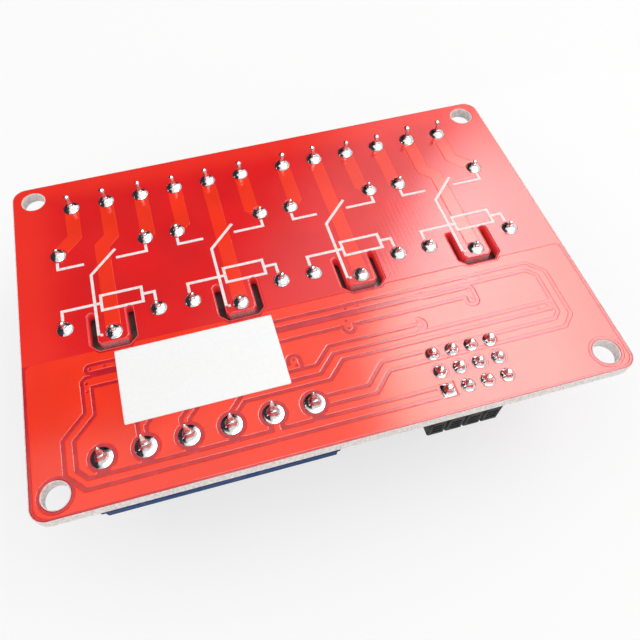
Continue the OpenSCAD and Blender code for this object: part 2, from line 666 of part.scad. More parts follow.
opto_l = 6.4;                    // body along X
opto_w = 4.6;
opto_h = 3.4;
opto_reach = 5;                  // outer end of the gull wings
opto_dy = 1.27;                  // gull wings either side of the body middle
diode_l = 4.3;
diode_w = 2.6;
diode_h = 2.1;
diode_reach = 2.5;
tab_w = 1.5;
sot_l = 2.9;
sot_w = 1.3;
sot_h = 1;
sot_reach = 1.2;
sot_dx = 0.95;                   // outer gull wings either side of the body middle
wing_w = 0.4;                    // width of a transistor gull wing
chip_l = 2;
chip_w = 1.25;
chip_h = 0.5;
chip_cap = 0.4;                  // metallised length at each chip end
lamp_h = 0.8;
wing_t = 0.2;                    // sheet of all gull wings
land = 0.35;                     // pad beyond the end of each lead

row_w = chip_l + 2 * land;       // width of the first row of small parts
in_face = in_y + term_depth / 2;
spare = relay_y0 - in_face - row_w - opto_w;     // free width between relays and input housing
row_y = relay_y0 - min(1.15, 0.45 * spare) - row_w / 2;
opto_y = in_face + min(0.7, 0.3 * spare) + opto_w / 2;

diodes = [for (k = [0 : channels - 1]) [relay_x(k) - 4.6, row_y]];
sots = [for (k = [0 : channels - 1]) [relay_x(k) + 0.6, row_y]];
optos = [for (k = [0 : channels - 1]) [relay_x(k), opto_y]];
base_chips = [for (k = [0 : channels - 1]) [relay_x(k) + 4.2, row_y]];
input_chips = [for (k = [0 : channels - 1]) [relay_x(k) + 6.7, opto_y]];
chips = concat(base_chips, input_chips, [[28.6, in_y]]);
lamps = [for (k = [0 : channels - 1]) [relay_x(k) + 6.7, row_y]];
power_lamp = [26, in_y];

// Pads under the small parts, in board axes
module small_pads_2d(extra) {
    at(optos) for (x = [-1, 1]) for (y = [-opto_dy, opto_dy])
        translate([x * (opto_reach + land - 0.65), y])
            square([1.3 + 2 * extra, 0.8 + 2 * extra], center = true);
    at(diodes) for (x = [-1, 1]) translate([x * (diode_reach + land - 0.9), 0])
        square([1.8 + 2 * extra, 1.8 + 2 * extra], center = true);
    at(sots) for (p = [[-sot_dx, 1], [sot_dx, 1], [0, -1]])
        translate([p[0], p[1] * (sot_reach + land - 0.45)])
            square([0.7 + 2 * extra, 0.9 + 2 * extra], center = true);
    at(concat(chips, lamps, [power_lamp])) for (y = [-1, 1]) translate([0, y * (chip_l / 2 + land - 0.45)])
        square([chip_w + 2 * extra, 0.9 + 2 * extra], center = true);
}

// Solder wedge of width w rising s against an end face that looks toward a degrees
module wedge(a, r, w, s) rotate(a) translate([r, w / 2, 0]) rotate([90, 0, 0])
    linear_extrude(w) polygon([[0, 0], [land, 0], [0, s]]);

module small_joints() color([0.80, 0.81, 0.83]) {
    translate([0, 0, z_under]) linear_extrude(mask_t) small_pads_2d(0);
    for (p = optos) hang(p[0], p[1]) for (a = [0, 180]) for (y = [-opto_dy, opto_dy])
        translate([0, y, 0]) wedge(a, opto_reach, 0.4, wing_t);
    for (p = diodes) hang(p[0], p[1]) for (a = [0, 180]) wedge(a, diode_reach, tab_w, 0.6);
    for (p = sots) hang(p[0], p[1]) {
        for (x = [-sot_dx, sot_dx]) translate([x, 0, 0]) wedge(90, sot_reach, wing_w, wing_t);
        wedge(-90, sot_reach, wing_w, wing_t);
    }
    for (p = concat(chips, lamps, [power_lamp])) hang(p[0], p[1])
        for (a = [90, -90]) wedge(a, chip_l / 2, chip_w, 0.3);
}

// Gull wing lead from a body face at x0 to x1, shoulder height h, width w
module wing(x0, x1, h, w) rotate([90, 0, 0]) translate([0, 0, -w / 2]) linear_extrude(w)
    polygon([[x0, h], [x0, h + wing_t], [x0 + (x1 - x0) * 0.45, h + wing_t], [x0 + (x1 - x0) * 0.6, wing_t],
        [x1, wing_t], [x1, 0], [x0 + (x1 - x0) * 0.5, 0], [x0 + (x1 - x0) * 0.35, h]]);

module optocoupler_bodies() color([0.10, 0.10, 0.11])
    for (p = optos) hang(p[0], p[1]) difference() {
        rotate([90, 0, 0]) translate([0, 0, -opto_w / 2]) linear_extrude(opto_w)
            polygon([[-opto_l / 2 + 0.2, 0.1], [opto_l / 2 - 0.2, 0.1], [opto_l / 2, opto_h / 2 - 0.1],
                [opto_l / 2, opto_h / 2 + 0.3], [opto_l / 2 - 0.25, opto_h], [-opto_l / 2 + 0.25, opto_h],
                [-opto_l / 2, opto_h / 2 + 0.3], [-opto_l / 2, opto_h / 2 - 0.1]]);
        translate([opto_l / 2 - 1.1, opto_w / 2 - 1, opto_h - 0.15]) cylinder(d = 0.8, h = 1);
    }

module optocoupler_wings() color([0.78, 0.78, 0.79])
    for (p = optos) hang(p[0], p[1]) for (a = [0, 180]) for (y = [-opto_dy, opto_dy])
        translate([0, y, 0]) rotate(a) wing(opto_l / 2, opto_reach, opto_h / 2, 0.5);

module diode_bodies() color([0.12, 0.12, 0.12])
    for (p = diodes) hang(p[0], p[1]) rotate([90, 0, 0]) translate([0, 0, -diode_w / 2])
        linear_extrude(diode_w) polygon([[-diode_l / 2 + 0.5, 0.1], [diode_l / 2 - 0.5, 0.1],
            [diode_l / 2, diode_h / 2 - 0.2], [diode_l / 2, diode_h / 2], [diode_l / 2 - 0.15, diode_h],
            [-diode_l / 2 + 0.15, diode_h], [-diode_l / 2, diode_h / 2], [-diode_l / 2, diode_h / 2 - 0.2]]);

module diode_tabs() color([0.80, 0.80, 0.81])
    for (p = diodes) hang(p[0], p[1]) for (a = [0, 180]) rotate(a) rotate([90, 0, 0])
        translate([0, 0, -tab_w / 2]) linear_extrude(tab_w)
            polygon([[diode_l / 2, diode_h / 2 - 0.2], [diode_l / 2, diode_h / 2],
                [diode_reach, diode_h / 2], [diode_reach, 0], [1.2, 0], [1.2, 0.1],
                [diode_reach - 0.2, 0.1], [diode_reach - 0.2, diode_h / 2 - 0.2]]);

module transistor_bodies() color([0.11, 0.11, 0.12])
    for (p = sots) hang(p[0], p[1]) rotate([90, 0, 90]) translate([0, 0, -sot_l / 2])
        linear_extrude(sot_l) polygon([[-sot_w / 2 + 0.08, 0.08], [sot_w / 2 - 0.08, 0.08],
            [sot_w / 2, 0.42], [sot_w / 2, 0.68], [sot_w / 2 - 0.14, sot_h + 0.08],
            [-sot_w / 2 + 0.14, sot_h + 0.08], [-sot_w / 2, 0.68], [-sot_w / 2, 0.42]]);

module transistor_wings() color([0.78, 0.78, 0.79])
    for (p = sots) hang(p[0], p[1]) {
        for (x = [-sot_dx, sot_dx]) translate([x, 0, 0]) rotate(90) wing(sot_w / 2, sot_reach, 0.45, wing_w);
        rotate(-90) wing(sot_w / 2, sot_reach, 0.45, wing_w);
    }

module chip_resistors() color([0.10, 0.10, 0.11])
    for (p = chips) hang(p[0], p[1]) translate([0, 0, chip_h / 2])
        cube([chip_w, chip_l - 2 * chip_cap, chip_h], center = true);

module chip_ends() color([0.82, 0.82, 0.83])
    for (p = concat(chips, lamps, [power_lamp])) hang(p[0], p[1]) for (s = [-1, 1])
        translate([0, s * (chip_l - chip_cap) / 2, chip_h / 2])
            cube([chip_w, chip_cap, chip_h], center = true);

// Lamp: chip base between its end caps and a clear block on top
module lamp(p) hang(p[0], p[1]) {
    translate([0, 0, chip_h / 2]) cube([chip_w, chip_l - 2 * chip_cap, chip_h], center = true);
    translate([0, 0, chip_h]) linear_extrude(lamp_h - chip_h, scale = [0.9, 0.9], slices = 1)
        square([chip_w, chip_l - 2 * chip_cap], center = true);
}

module channel_lamps() color([0.90, 0.25, 0.20]) for (p = lamps) lamp(p);
module power_lamp_body() color([0.30, 0.80, 0.35]) lamp(power_lamp);

// ---------------------------------------------------------------- nodes

board_core();
mask_solder_side();
mask_component_side();
power_tracks();
ground_area();
printed_symbols();
label_sticker();
output_joints();
relay_joints();
input_joints();
header_joints();
relay_case(0);  // relay_case_1
relay_case(1);  // relay_case_2
relay_case(2);  // relay_case_3
relay_case(3);  // relay_case_4
relay_base(0);  // relay_base_1
relay_base(1);  // relay_base_2
relay_base(2);  // relay_base_3
relay_base(3);  // relay_base_4
relay_leads(0);  // relay_leads_1
relay_leads(1);  // relay_leads_2
relay_leads(2);  // relay_leads_3
relay_leads(3);  // relay_leads_4
out_housing(0);  // out_housing_1
out_housing(1);  // out_housing_2
out_housing(2);  // out_housing_3
out_housing(3);  // out_housing_4
out_cages(0);  // out_cages_1
out_cages(1);  // out_cages_2
out_cages(2);  // out_cages_3
out_cages(3);  // out_cages_4
in_housing();
in_cages();
terminal_screws();
header_base();
header_pins();
jumper_cap(0);  // jumper_cap_1
jumper_cap(1);  // jumper_cap_2
jumper_cap(2);  // jumper_cap_3
jumper_cap(3);  // jumper_cap_4
jumper_leaves();
optocoupler_bodies();
optocoupler_wings();
diode_bodies();
diode_tabs();
transistor_bodies();
transistor_wings();
chip_resistors();
chip_ends();
channel_lamps();
power_lamp_body();
small_joints();
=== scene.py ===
import functools
import json
import math
import random

import bmesh
import bpy
from bpy.props import FloatProperty, FloatVectorProperty, IntProperty, PointerProperty
from mathutils import Matrix, Vector, noise
from mathutils.bvhtree import BVHTree
from mathutils.geometry import delaunay_2d_cdt


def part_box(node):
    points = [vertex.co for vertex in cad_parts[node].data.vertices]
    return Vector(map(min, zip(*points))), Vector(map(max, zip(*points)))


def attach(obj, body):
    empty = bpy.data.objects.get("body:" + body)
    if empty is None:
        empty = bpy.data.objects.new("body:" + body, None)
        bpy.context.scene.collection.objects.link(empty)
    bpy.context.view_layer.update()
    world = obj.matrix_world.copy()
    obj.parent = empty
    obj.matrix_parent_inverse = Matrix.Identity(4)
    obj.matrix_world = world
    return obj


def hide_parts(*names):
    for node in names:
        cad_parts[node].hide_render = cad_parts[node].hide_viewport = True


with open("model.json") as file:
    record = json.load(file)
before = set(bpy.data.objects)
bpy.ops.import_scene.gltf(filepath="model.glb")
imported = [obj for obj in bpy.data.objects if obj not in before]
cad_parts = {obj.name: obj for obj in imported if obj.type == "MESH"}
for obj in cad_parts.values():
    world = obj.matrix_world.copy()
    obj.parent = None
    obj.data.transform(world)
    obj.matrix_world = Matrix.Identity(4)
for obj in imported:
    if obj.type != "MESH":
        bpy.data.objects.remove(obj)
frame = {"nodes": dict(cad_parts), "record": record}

bl_info = {
    "name": "Relay Module Board",
    "version": (1, 0, 0),
    "blender": (4, 5, 0),
    "location": "3D View > Sidebar > Relay Board",
    "description": "Dresses a relay module board: lacquer, copper relief, solder, housings and stage",
    "category": "Object",
}

MM = 0.001
NODES = frame["nodes"]
SLOTS = {entry["node"]: entry["material_slot"] for entry in frame["record"]["subparts"]}
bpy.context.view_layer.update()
# Numbers of the relays, output terminals and jumper caps
CHANNELS = range(1, 5)

# Box of the laminate, then the heights of its top, of the lacquer over it and of the covered copper
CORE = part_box("board_core")
CORE_TOP = CORE[1][2]
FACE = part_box("mask_solder_side")[1][2]
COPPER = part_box("power_tracks")[1][2]
# The ground area ends at this Y, and the row of output pads lies at that one
GROUND_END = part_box("ground_area")[1][1]
PADS_Y = sum(corner[1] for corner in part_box("output_joints")) / 2


# ---------- sizes and colours

def colour(name, text, rgb):
    return FloatVectorProperty(name=name, description=text, default=rgb, size=3, min=0, max=1,
                               subtype="COLOR")


def length(name, text, mm, top):
    return FloatProperty(name=name, description=text, default=mm * MM, min=0, max=top * MM,
                         unit="LENGTH", subtype="DISTANCE", precision=5)


def share(name, text, value, top=1.0):
    return FloatProperty(name=name, description=text, default=value, min=0, max=top)


class LacquerSettings(bpy.types.PropertyGroup):
    bare: colour("Bare lacquer", "Lacquer where only laminate lies under it", (0.79, 0.012, 0.014))
    covered: colour("Covered copper", "Lacquer where copper lies under it", (0.96, 0.036, 0.010))
    # darker tone given to bare lacquer in front of the end of the ground area, seen in the gaps between
    # copper
    gap: colour("Gap shade", "Lacquer pooled in the narrow gaps between copper areas", (0.44, 0.010, 0.024))
    gloss: share("Gloss roughness", "Roughness of the lacquer surface", 0.15)
    # share of the painted glow near the board's edges, which stands in for light leaking through the laminate
    painted_rim_glow: share("Edge glow", "How much light leaks through the laminate near the board's edges", 0.6)
    slope: length("Relief slope", "Width of the slope at the edge of covered copper", 0.13, 0.2)


class LaminateSettings(bpy.types.PropertyGroup):
    edge: colour("Sawn edge", "Glass laminate where it is cut", (0.76, 0.70, 0.67))
    inner: colour("Routed wall", "Laminate in the slots and small holes, stained by the lacquer",
                  (0.72, 0.03, 0.035))
    rough: length("Edge roughness", "Depth of the torn fibres on the near edge", 0.10, 0.2)
    step: length("Edge detail", "Spacing of the points along the cut edges", 0.14, 1.0)


class SolderSettings(bpy.types.PropertyGroup):
    metal: colour("Solder", "Colour of the wetted solder", (0.68, 0.68, 0.69))
    lead: colour("Lead", "Colour of the tinned leads", (0.72, 0.66, 0.64))
    uneven: share("Unevenness", "How much the joints differ from each other", 0.5)
    turns: IntProperty(name="Points round", description="Points round each joint", default=40, min=12,
                       max=64)


class PlasticSettings(bpy.types.PropertyGroup):
    terminal: colour("Terminal blue", "Screw terminal housings", (0.004, 0.038, 0.15))
    relay: colour("Relay blue", "Relay cases", (0.02, 0.13, 0.48))
    black: colour("Black mouldings", "Pin header, jumper caps and packages", (0.010, 0.010, 0.011))
    round: length("Moulded radius", "Rounding of moulded edges", 0.12, 0.4)


class PrintSettings(bpy.types.PropertyGroup):
    ink: colour("Ink", "Printed symbols", (0.86, 0.80, 0.80))
    paper: colour("Label", "Bare label", (0.89, 0.895, 0.895))
    lift: length("Label waviness", "How far the label follows the board below", 0.02, 0.05)


class StageSettings(bpy.types.PropertyGroup):
    window: share("Window", "Brightness of the large soft window", 9.0, 20.0)
    key: share("Key", "How strongly the window lights matt surfaces", 2.2, 20.0)
    fill: share("Fill", "Brightness of the room", 0.98, 3.0)
    near: share("Near light", "Brightness of the ceiling in front", 5.0, 20.0)
    card: share("Card", "Brightness of the dark room side", 0.05, 1.0)


# ---------- shader helpers

# Scale of a wave texture whose bands lie one metre apart
WAVE_SCALE = 0.314


def shade(rgb, factor):
    return tuple(min(1.0, c * factor) for c in rgb)


class Tree:
    """A cleared node tree with short ways to add and join nodes."""

    def __init__(self, owner, output):
        owner.use_nodes = True
        self.tree = owner.node_tree
        self.tree.nodes.clear()
        self.out = self.add(output)

    def add(self, kind, **props):
        node = self.tree.nodes.new(kind)
        for key, value in props.items():
            setattr(node, key, value)
        return node

    def plug(self, socket, value):
        if isinstance(value, bpy.types.NodeSocket):
            self.tree.links.new(value, socket)
        elif socket.type == "RGBA":
            socket.default_value = (*value, 1)
        else:
            socket.default_value = value

    def feed(self, node, *values):
        """Plug values into the first sockets of a node and return its first output."""
        for socket, value in zip(node.inputs, values):
            self.plug(socket, value)
        return node.outputs[0]

    def math(self, kind, *values):
        return self.feed(self.add("ShaderNodeMath", operation=kind), *values)

    def times(self, a, b):
        return self.math("MULTIPLY", a, b)

    def minus(self, a, b):
        return self.math("SUBTRACT", a, b)

    def seen(self):
        """1 for rays from the camera, off metal and through glass."""
        rays = self.add("ShaderNodeLightPath").outputs
        bounced = self.math("MAXIMUM", rays["Is Glossy Ray"], rays["Is Transmission Ray"])
        return self.math("MAXIMUM", rays["Is Camera Ray"], bounced)

    def show(self, part, lit, shown):
        """Send the mix of two shaders to the output."""
        self.plug(self.out.inputs[0], self.feed(self.add("ShaderNodeMixShader"), part, lit, shown))


class Shader(Tree):
    """Node tree of one finish, with object coordinates in metres."""

    def __init__(self, name, **sockets):
        self.material = bpy.data.materials.new(name)
        super().__init__(self.material, "ShaderNodeOutputMaterial")
        self.skin = self.add("ShaderNodeBsdfPrincipled")
        self.plug(self.out.inputs[0], self.skin.outputs[0])
        self.place = self.add("ShaderNodeTexCoord").outputs["Object"]
        for key, value in sockets.items():
            self.put(key.replace("_", " "), value)

    def put(self, name, value):
        self.plug(self.skin.inputs[name], value)

    def stretch(self, x, y, z):
        """Object coordinates, scaled along each axis."""
        return self.feed(self.add("ShaderNodeVectorMath", operation="MULTIPLY"), self.place, (x, y, z))

    def texture(self, kind, size_mm, vector=None, **props):
        node = self.add(kind, **props)
        self.plug(node.inputs["Vector"], vector or self.place)
        node.inputs["Scale"].default_value = 1 / (size_mm * MM)
        return node

    def noise(self, size_mm, detail=2.0, rough=0.5, vector=None):
        node = self.texture("ShaderNodeTexNoise", size_mm, vector)
        node.inputs["Detail"].default_value = detail
        node.inputs["Roughness"].default_value = rough
        return node.outputs["Fac"]

    def waves(self, size_mm, twist, direction):
        node = self.texture("ShaderNodeTexWave", size_mm / WAVE_SCALE, bands_direction=direction)
        node.inputs["Distortion"].default_value = twist
        return node.outputs["Fac"]

    def axis(self, name):
        node = self.add("ShaderNodeSeparateXYZ")
        self.plug(node.inputs[0], self.place)
        return node.outputs[name]

    def span(self, value, low, high, to_low=0.0, to_high=1.0):
        """A soft rise from to_low to to_high as value goes from low to high."""
        node = self.add("ShaderNodeMapRange", interpolation_type="SMOOTHSTEP")
        return self.feed(node, value, low, high, to_low, to_high)

    def mix(self, part, a, b):
        node = self.add("ShaderNodeMix", data_type="RGBA")
        for i, value in ((0, part), (6, a), (7, b)):
            self.plug(node.inputs[i], value)
        return node.outputs[2]

    def cloudy(self, value, base, dark, light, low=0.3, high=0.7):
        """The base colour, drifting from a darker to a lighter shade as value rises."""
        return self.mix(self.span(value, low, high), shade(base, dark), shade(base, light))

    def over(self, tone, value, low, high, most, paint):
        """Paint laid over tone, up to the share most as value rises."""
        return self.mix(self.times(self.span(value, low, high), most), tone, paint)

    def inward(self, long_edges=1.0):
        """Distance from the nearest edge of the board, that from its long edges times a factor."""
        x, y = (self.minus(CORE[1][i], self.math("ABSOLUTE", self.axis(name))) for i, name in enumerate("XY"))
        return self.math("MINIMUM", x, self.times(y, long_edges))

    def bump(self, height, depth_mm, strength=1.0, normal=None):
        node = self.add("ShaderNodeBump")
        node.inputs["Strength"].default_value = strength
        node.inputs["Distance"].default_value = depth_mm * MM
        self.plug(node.inputs["Height"], height)
        if normal is not None:
            self.plug(node.inputs["Normal"], normal)
        return node.outputs[0]


# ---------- finishes

# Pitch of the glass cloth and thickness of its plies, in millimetres
CLOTH = 0.62
PLY = 0.19


def lacquer_finish(name, base, settings, weave=1.0, gaps=False):
    """Glossy solder-resist lacquer: slow colour drift, glass cloth below, fine orange peel and dust."""
    s = Shader(name, IOR=1.5, Coat_Weight=0.35, Coat_Roughness=0.06, Specular_IOR_Level=0.5)
    cloth = s.times(s.waves(CLOTH, 0.6, "X"), s.waves(CLOTH, 0.6, "Y"))
    tone = s.cloudy(s.noise(9, 2), base, 0.93, 1.05)
    tone = s.over(tone, cloth, 0.2, 0.9, 0.10 * weave, shade(base, 0.78))
    # painted light: the colour turns a brighter orange red towards the board's rim, standing in for light
    # that leaks through the laminate
    tone = s.over(tone, s.inward(1.5), 8 * MM, 1.5 * MM, settings.painted_rim_glow * weave, (1.0, 0.040, 0.020))
    tone = s.over(tone, s.noise(0.22, 2, 0.6), 0.70, 0.80, 0.05, shade(base, 1.25))
    if gaps:
        # bare lacquer in front of the end of the ground area, which shows in the gaps between copper and
        # along the rim, is darker and more purple
        darker_gaps = s.cloudy(s.noise(1.3, 3), settings.gap, 1, 1.35, 0.35, 0.7)
        tone = s.over(tone, s.axis("Y"), GROUND_END, GROUND_END - 0.1 * MM, 0.85, darker_gaps)
    s.put("Base Color", tone)
    grease = s.noise(5, 4, 0.65)
    s.put("Roughness", s.span(grease, 0.35, 0.75, settings.gloss, settings.gloss + 0.05))
    wavy = s.bump(s.noise(5.5, 1), 0.008, 0.5)
    peel = s.bump(s.noise(0.9, 2), 0.003, 0.5, wavy)
    s.put("Normal", s.bump(cloth, 0.006, 0.7 * weave + 0.04, peel))
    return s.material


def laminate_finish(settings):
    """Sawn glass laminate: plies seen end on, torn fibre bundles, smears of lacquer, stained inner walls."""
    s = Shader("laminate_edge", Roughness=0.75)
    z = s.axis("Z")
    plies = s.math("SINE", s.times(z, 2 * math.pi / (PLY * MM)))
    bundle = s.noise(0.30, 4, 0.7, s.stretch(1, 1, 0.45))
    fibre = s.noise(0.12, 2, 0.6, s.stretch(1, 1, 0.25))
    sawn = s.cloudy(bundle, settings.edge, 0.80, 1.14, 0.35, 0.65)
    sawn = s.over(sawn, plies, -0.4, 0.9, 0.22, shade(settings.edge, 1.35))
    sawn = s.over(sawn, fibre, 0.62, 0.74, 0.55, (0.80, 0.79, 0.76))
    sawn = s.over(sawn, s.noise(1.1, 3), 0.58, 0.72, 0.12, (0.55, 0.10, 0.08))
    # the routed walls inside the board are stained, most of all on the ledge below the lacquer
    inner = s.span(s.inward(), 4.6 * MM, 5.2 * MM)
    ledge = s.span(z, CORE_TOP - 0.25 * MM, CORE_TOP - 0.02 * MM)
    stain_and_glow = s.mix(s.times(ledge, 0.5), settings.inner, (0.60, 0.08, 0.08))
    # bare glass shows at the ends of the tongues
    ends = s.times(s.span(s.axis("Y"), GROUND_END + 1.1 * MM, GROUND_END + 0.85 * MM), 0.8)
    glass = s.mix(s.span(fibre, 0.3, 0.7), (0.42, 0.15, 0.15), (0.60, 0.31, 0.30))
    stain_and_glow = s.mix(s.times(ends, s.minus(1.0, ledge)), stain_and_glow, glass)
    s.put("Base Color", s.mix(s.times(inner, s.span(fibre, 0.2, 0.7, 1.0, 0.95)), sawn, stain_and_glow))
    # painted glow: the inner walls shine less and emit their stained colour, more towards the top face, for
    # light let through the thin walls from the lit faces of the board
    s.put("Specular IOR Level", s.minus(0.35, s.times(inner, 0.30)))
    s.put("Emission Color", stain_and_glow)
    s.put("Emission Strength", s.times(inner, s.span(z, CORE[0][2], CORE_TOP, 0.10, 0.32)))
    s.put("Normal", s.bump(fibre, 0.04, 0.7, s.bump(bundle, 0.06, 0.8)))
    return s.material


def solder_finish(settings):
    """Bright wetted solder: grain patches, frozen ripples and clouds of flux tarnish."""
    s = Shader("solder_metal", Metallic=1.0)
    cloud = s.noise(0.7, 3, 0.6)
    tone = s.cloudy(cloud, settings.metal, 0.86, 1.12)
    s.put("Base Color", s.over(tone, cloud, 0.6, 0.8, 0.3, (0.62, 0.46, 0.38)))
    s.put("Roughness", s.span(s.noise(0.45, 3), 0.3, 0.75, 0.07, 0.26))
    ripple = s.bump(s.noise(0.42, 2), 0.035, 0.5)
    grain = s.texture("ShaderNodeTexVoronoi", 0.34).outputs["Distance"]
    s.put("Normal", s.bump(grain, 0.012, 0.35, ripple))
    return s.material


def metal_finish(name, base, low, high, drawn=False):
    """Plated sheet or wire: rubbed patches and small pits, which a drawn part has as marks along it."""
    s = Shader(name, Metallic=1.0)
    s.put("Base Color", s.cloudy(s.noise(0.8, 3), base, 0.80, 1.10))
    s.put("Roughness", s.span(s.noise(0.6, 4, 0.65), 0.3, 0.7, low, high))
    marks = s.noise(0.25, 2, 0.5, s.stretch(1, 1, 0.12) if drawn else None)
    s.put("Normal", s.bump(marks, 0.02, 0.35))
    return s.material


def pin_finish(settings):
    """Gold flashed pin, coated with solder where it stands out of its joint."""
    s = Shader("gold_flash", Metallic=1.0)
    wet = s.span(s.axis("Z"), FACE - 0.1 * MM, FACE + 0.1 * MM)
    cloud = s.noise(0.5, 3)
    gold = s.mix(s.span(cloud, 0.3, 0.7), (0.70, 0.48, 0.19), (0.92, 0.68, 0.33))
    s.put("Base Color", s.mix(wet, gold, s.cloudy(cloud, settings.lead, 0.8, 1.15)))
    s.put("Roughness", s.span(s.noise(0.4, 3), 0.3, 0.7, 0.12, 0.3))
    s.put("Normal", s.bump(s.noise(0.3, 2, 0.5, s.stretch(1, 1, 0.2)), 0.02, 0.4))
    return s.material


def moulding_finish(name, base, gloss, grain_mm, grain, coat=0.12, shine=0.5):
    """Injection moulded plastic: spark-eroded grain, flow cloudiness, light scuffs."""
    s = Shader(name, IOR=1.45, Coat_Weight=coat, Coat_Roughness=0.25, Specular_IOR_Level=shine)
    cloud = s.noise(4, 3)
    scuff = s.noise(2.2, 5, 0.75, s.stretch(1, 0.3, 1))
    scuffed = tuple(min(1.0, c * 1.5 + 0.02) for c in base)
    s.put("Base Color", s.over(s.cloudy(cloud, base, 0.86, 1.14), scuff, 0.6, 0.75, 0.35, scuffed))
    s.put("Roughness", s.span(s.noise(1.5, 3), 0.3, 0.7, gloss, gloss + 0.15))
    s.put("Normal", s.bump(s.noise(grain_mm, 2), 0.015, grain, s.bump(cloud, 0.05, 0.2)))
    return s.material


def ink_finish(settings):
    """Screen printed ink: dry, a little thin at places, with the mesh of the screen in it."""
    s = Shader("symbol_ink", Roughness=0.62, Specular_IOR_Level=0.3)
    tone = s.mix(s.span(s.noise(0.35, 3, 0.6), 0.25, 0.55), (0.80, 0.55, 0.54), settings.ink)
    s.put("Base Color", s.over(tone, s.noise(2.2), 0.4, 0.7, 0.2, (0.93, 0.86, 0.85)))
    s.put("Normal", s.bump(s.noise(0.14, 2), 0.012, 0.6))
    return s.material


def paper_finish(settings):
    """Coated label stock: faint fibre mottling and patches of handling gloss."""
    s = Shader("label_stock", Specular_IOR_Level=0.45, IOR=1.45)
    fibre, cloud = s.noise(0.5, 4, 0.7), s.noise(4.5, 2)
    tone = s.cloudy(fibre, settings.paper, 0.975, 1.01)
    s.put("Base Color", s.over(tone, cloud, 0.45, 0.75, 0.25, (0.84, 0.86, 0.88)))
    s.put("Roughness", s.span(cloud, 0.3, 0.7, 0.42, 0.58))
    s.put("Normal", s.bump(fibre, 0.01, 0.35, s.bump(cloud, 0.05, 0.25)))
    return s.material


def lens_finish(name, base):
    """Tinted lamp lens over its chip."""
    s = Shader(name, Roughness=0.18, IOR=1.5, Coat_Weight=0.3, Transmission_Weight=0.25)
    s.put("Base Color", s.cloudy(s.noise(0.5), base, 0.8, 1.2))
    s.put("Normal", s.bump(s.noise(0.3, 2), 0.01, 0.3))
    return s.material


@functools.cache
def finish(slot):
    """The finish of a material slot, made once."""
    scene = bpy.context.scene
    lac, sol, pla = scene.rb_lacquer, scene.rb_solder, scene.rb_plastic
    made = {
        "laminate": lambda: laminate_finish(scene.rb_laminate),
        "solder_mask": lambda: lacquer_finish("lacquer_on_laminate", lac.bare, lac, 1.0, True),
        "masked_copper": lambda: lacquer_finish("lacquer_on_copper", lac.covered, lac, 0.25),
        "white_ink": lambda: ink_finish(scene.rb_print),
        "label_paper": lambda: paper_finish(scene.rb_print),
        "solder": lambda: solder_finish(sol),
        "relay_blue": lambda: moulding_finish("relay_case_blue", pla.relay, 0.32, 0.5, 0.35),
        "resin": lambda: moulding_finish("potting_resin", (0.03, 0.03, 0.035), 0.3, 1.2, 0.6),
        "tinned_lead": lambda: metal_finish("tinned_wire", sol.lead, 0.12, 0.32, True),
        "terminal_blue": lambda: moulding_finish("terminal_blue", pla.terminal, 0.5, 0.28, 0.5, 0.0, 0.08),
        "plated_steel": lambda: metal_finish("plated_cage", (0.74, 0.72, 0.70), 0.15, 0.35, True),
        "screw_steel": lambda: metal_finish("screw_zinc", (0.74, 0.72, 0.68), 0.2, 0.45),
        "header_black": lambda: moulding_finish("header_black", pla.black, 0.48, 0.25, 0.6, 0.0, 0.15),
        "gold_pin": lambda: pin_finish(sol),
        "cap_black": lambda: moulding_finish("cap_black", pla.black, 0.45, 0.3, 0.5, 0.0, 0.15),
        "package_black": lambda: moulding_finish("package_black", shade(pla.black, 1.3), 0.5, 0.12, 0.8),
        "lamp_red": lambda: lens_finish("lamp_red", (0.55, 0.05, 0.03)),
        "lamp_green": lambda: lens_finish("lamp_green", (0.06, 0.42, 0.12)),
    }
    return made[slot]()


def dress(obj, slot, *nodes):
    """Gives a piece its finish, seats it on the board's body and lets it stand for CAD nodes."""
    obj.data.materials.clear()
    obj.data.materials.append(finish(slot))
    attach(obj, "root")
    if nodes:
        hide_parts(*nodes)
    return obj


def keep(name):
    """A CAD node whose shape is kept gets its finish."""
    node = NODES[name]
    if not node.material_slots:
        node.data.materials.append(finish(SLOTS[name]))
    for entry in node.material_slots:
        entry.material = finish(SLOTS[name])


# ---------- mesh helpers

# Heights that differ less than this are one level
LEVEL = 5e-6


def linked(name, data):
    """New object in the scene."""
    obj = bpy.data.objects.new(name, data)
    bpy.context.collection.objects.link(obj)
    return obj


def from_bmesh(bm, name, smooth=True, flat_tops=False):
    bmesh.ops.recalc_face_normals(bm, faces=bm.faces)
    for f in bm.faces:
        f.smooth = smooth and not (flat_tops and abs(f.normal.z) > 0.9999)
    mesh = bpy.data.meshes.new(name)
    bm.to_mesh(mesh)
    bm.free()
    return linked(name, mesh)


def welded(node):
    bm = bmesh.new()
    bm.from_mesh(NODES[node].data)
    bmesh.ops.remove_doubles(bm, verts=bm.verts, dist=1e-7)
    bm.normal_update()
    return bm


def islands(node):
    """Lowest and highest corner of each loose solid of a CAD node."""
    bm = welded(node)
    seen, found = set(), []
    for v in bm.verts:
        if v in seen:
            continue
        seen.add(v)
        part = [v]
        for a in part:
            for b in (e.other_vert(a) for e in a.link_edges):
                if b not in seen:
                    seen.add(b)
                    part.append(b)
        found.append([Vector([end(a.co[i] for a in part) for i in range(3)]) for end in (min, max)])
    bm.free()
    return found


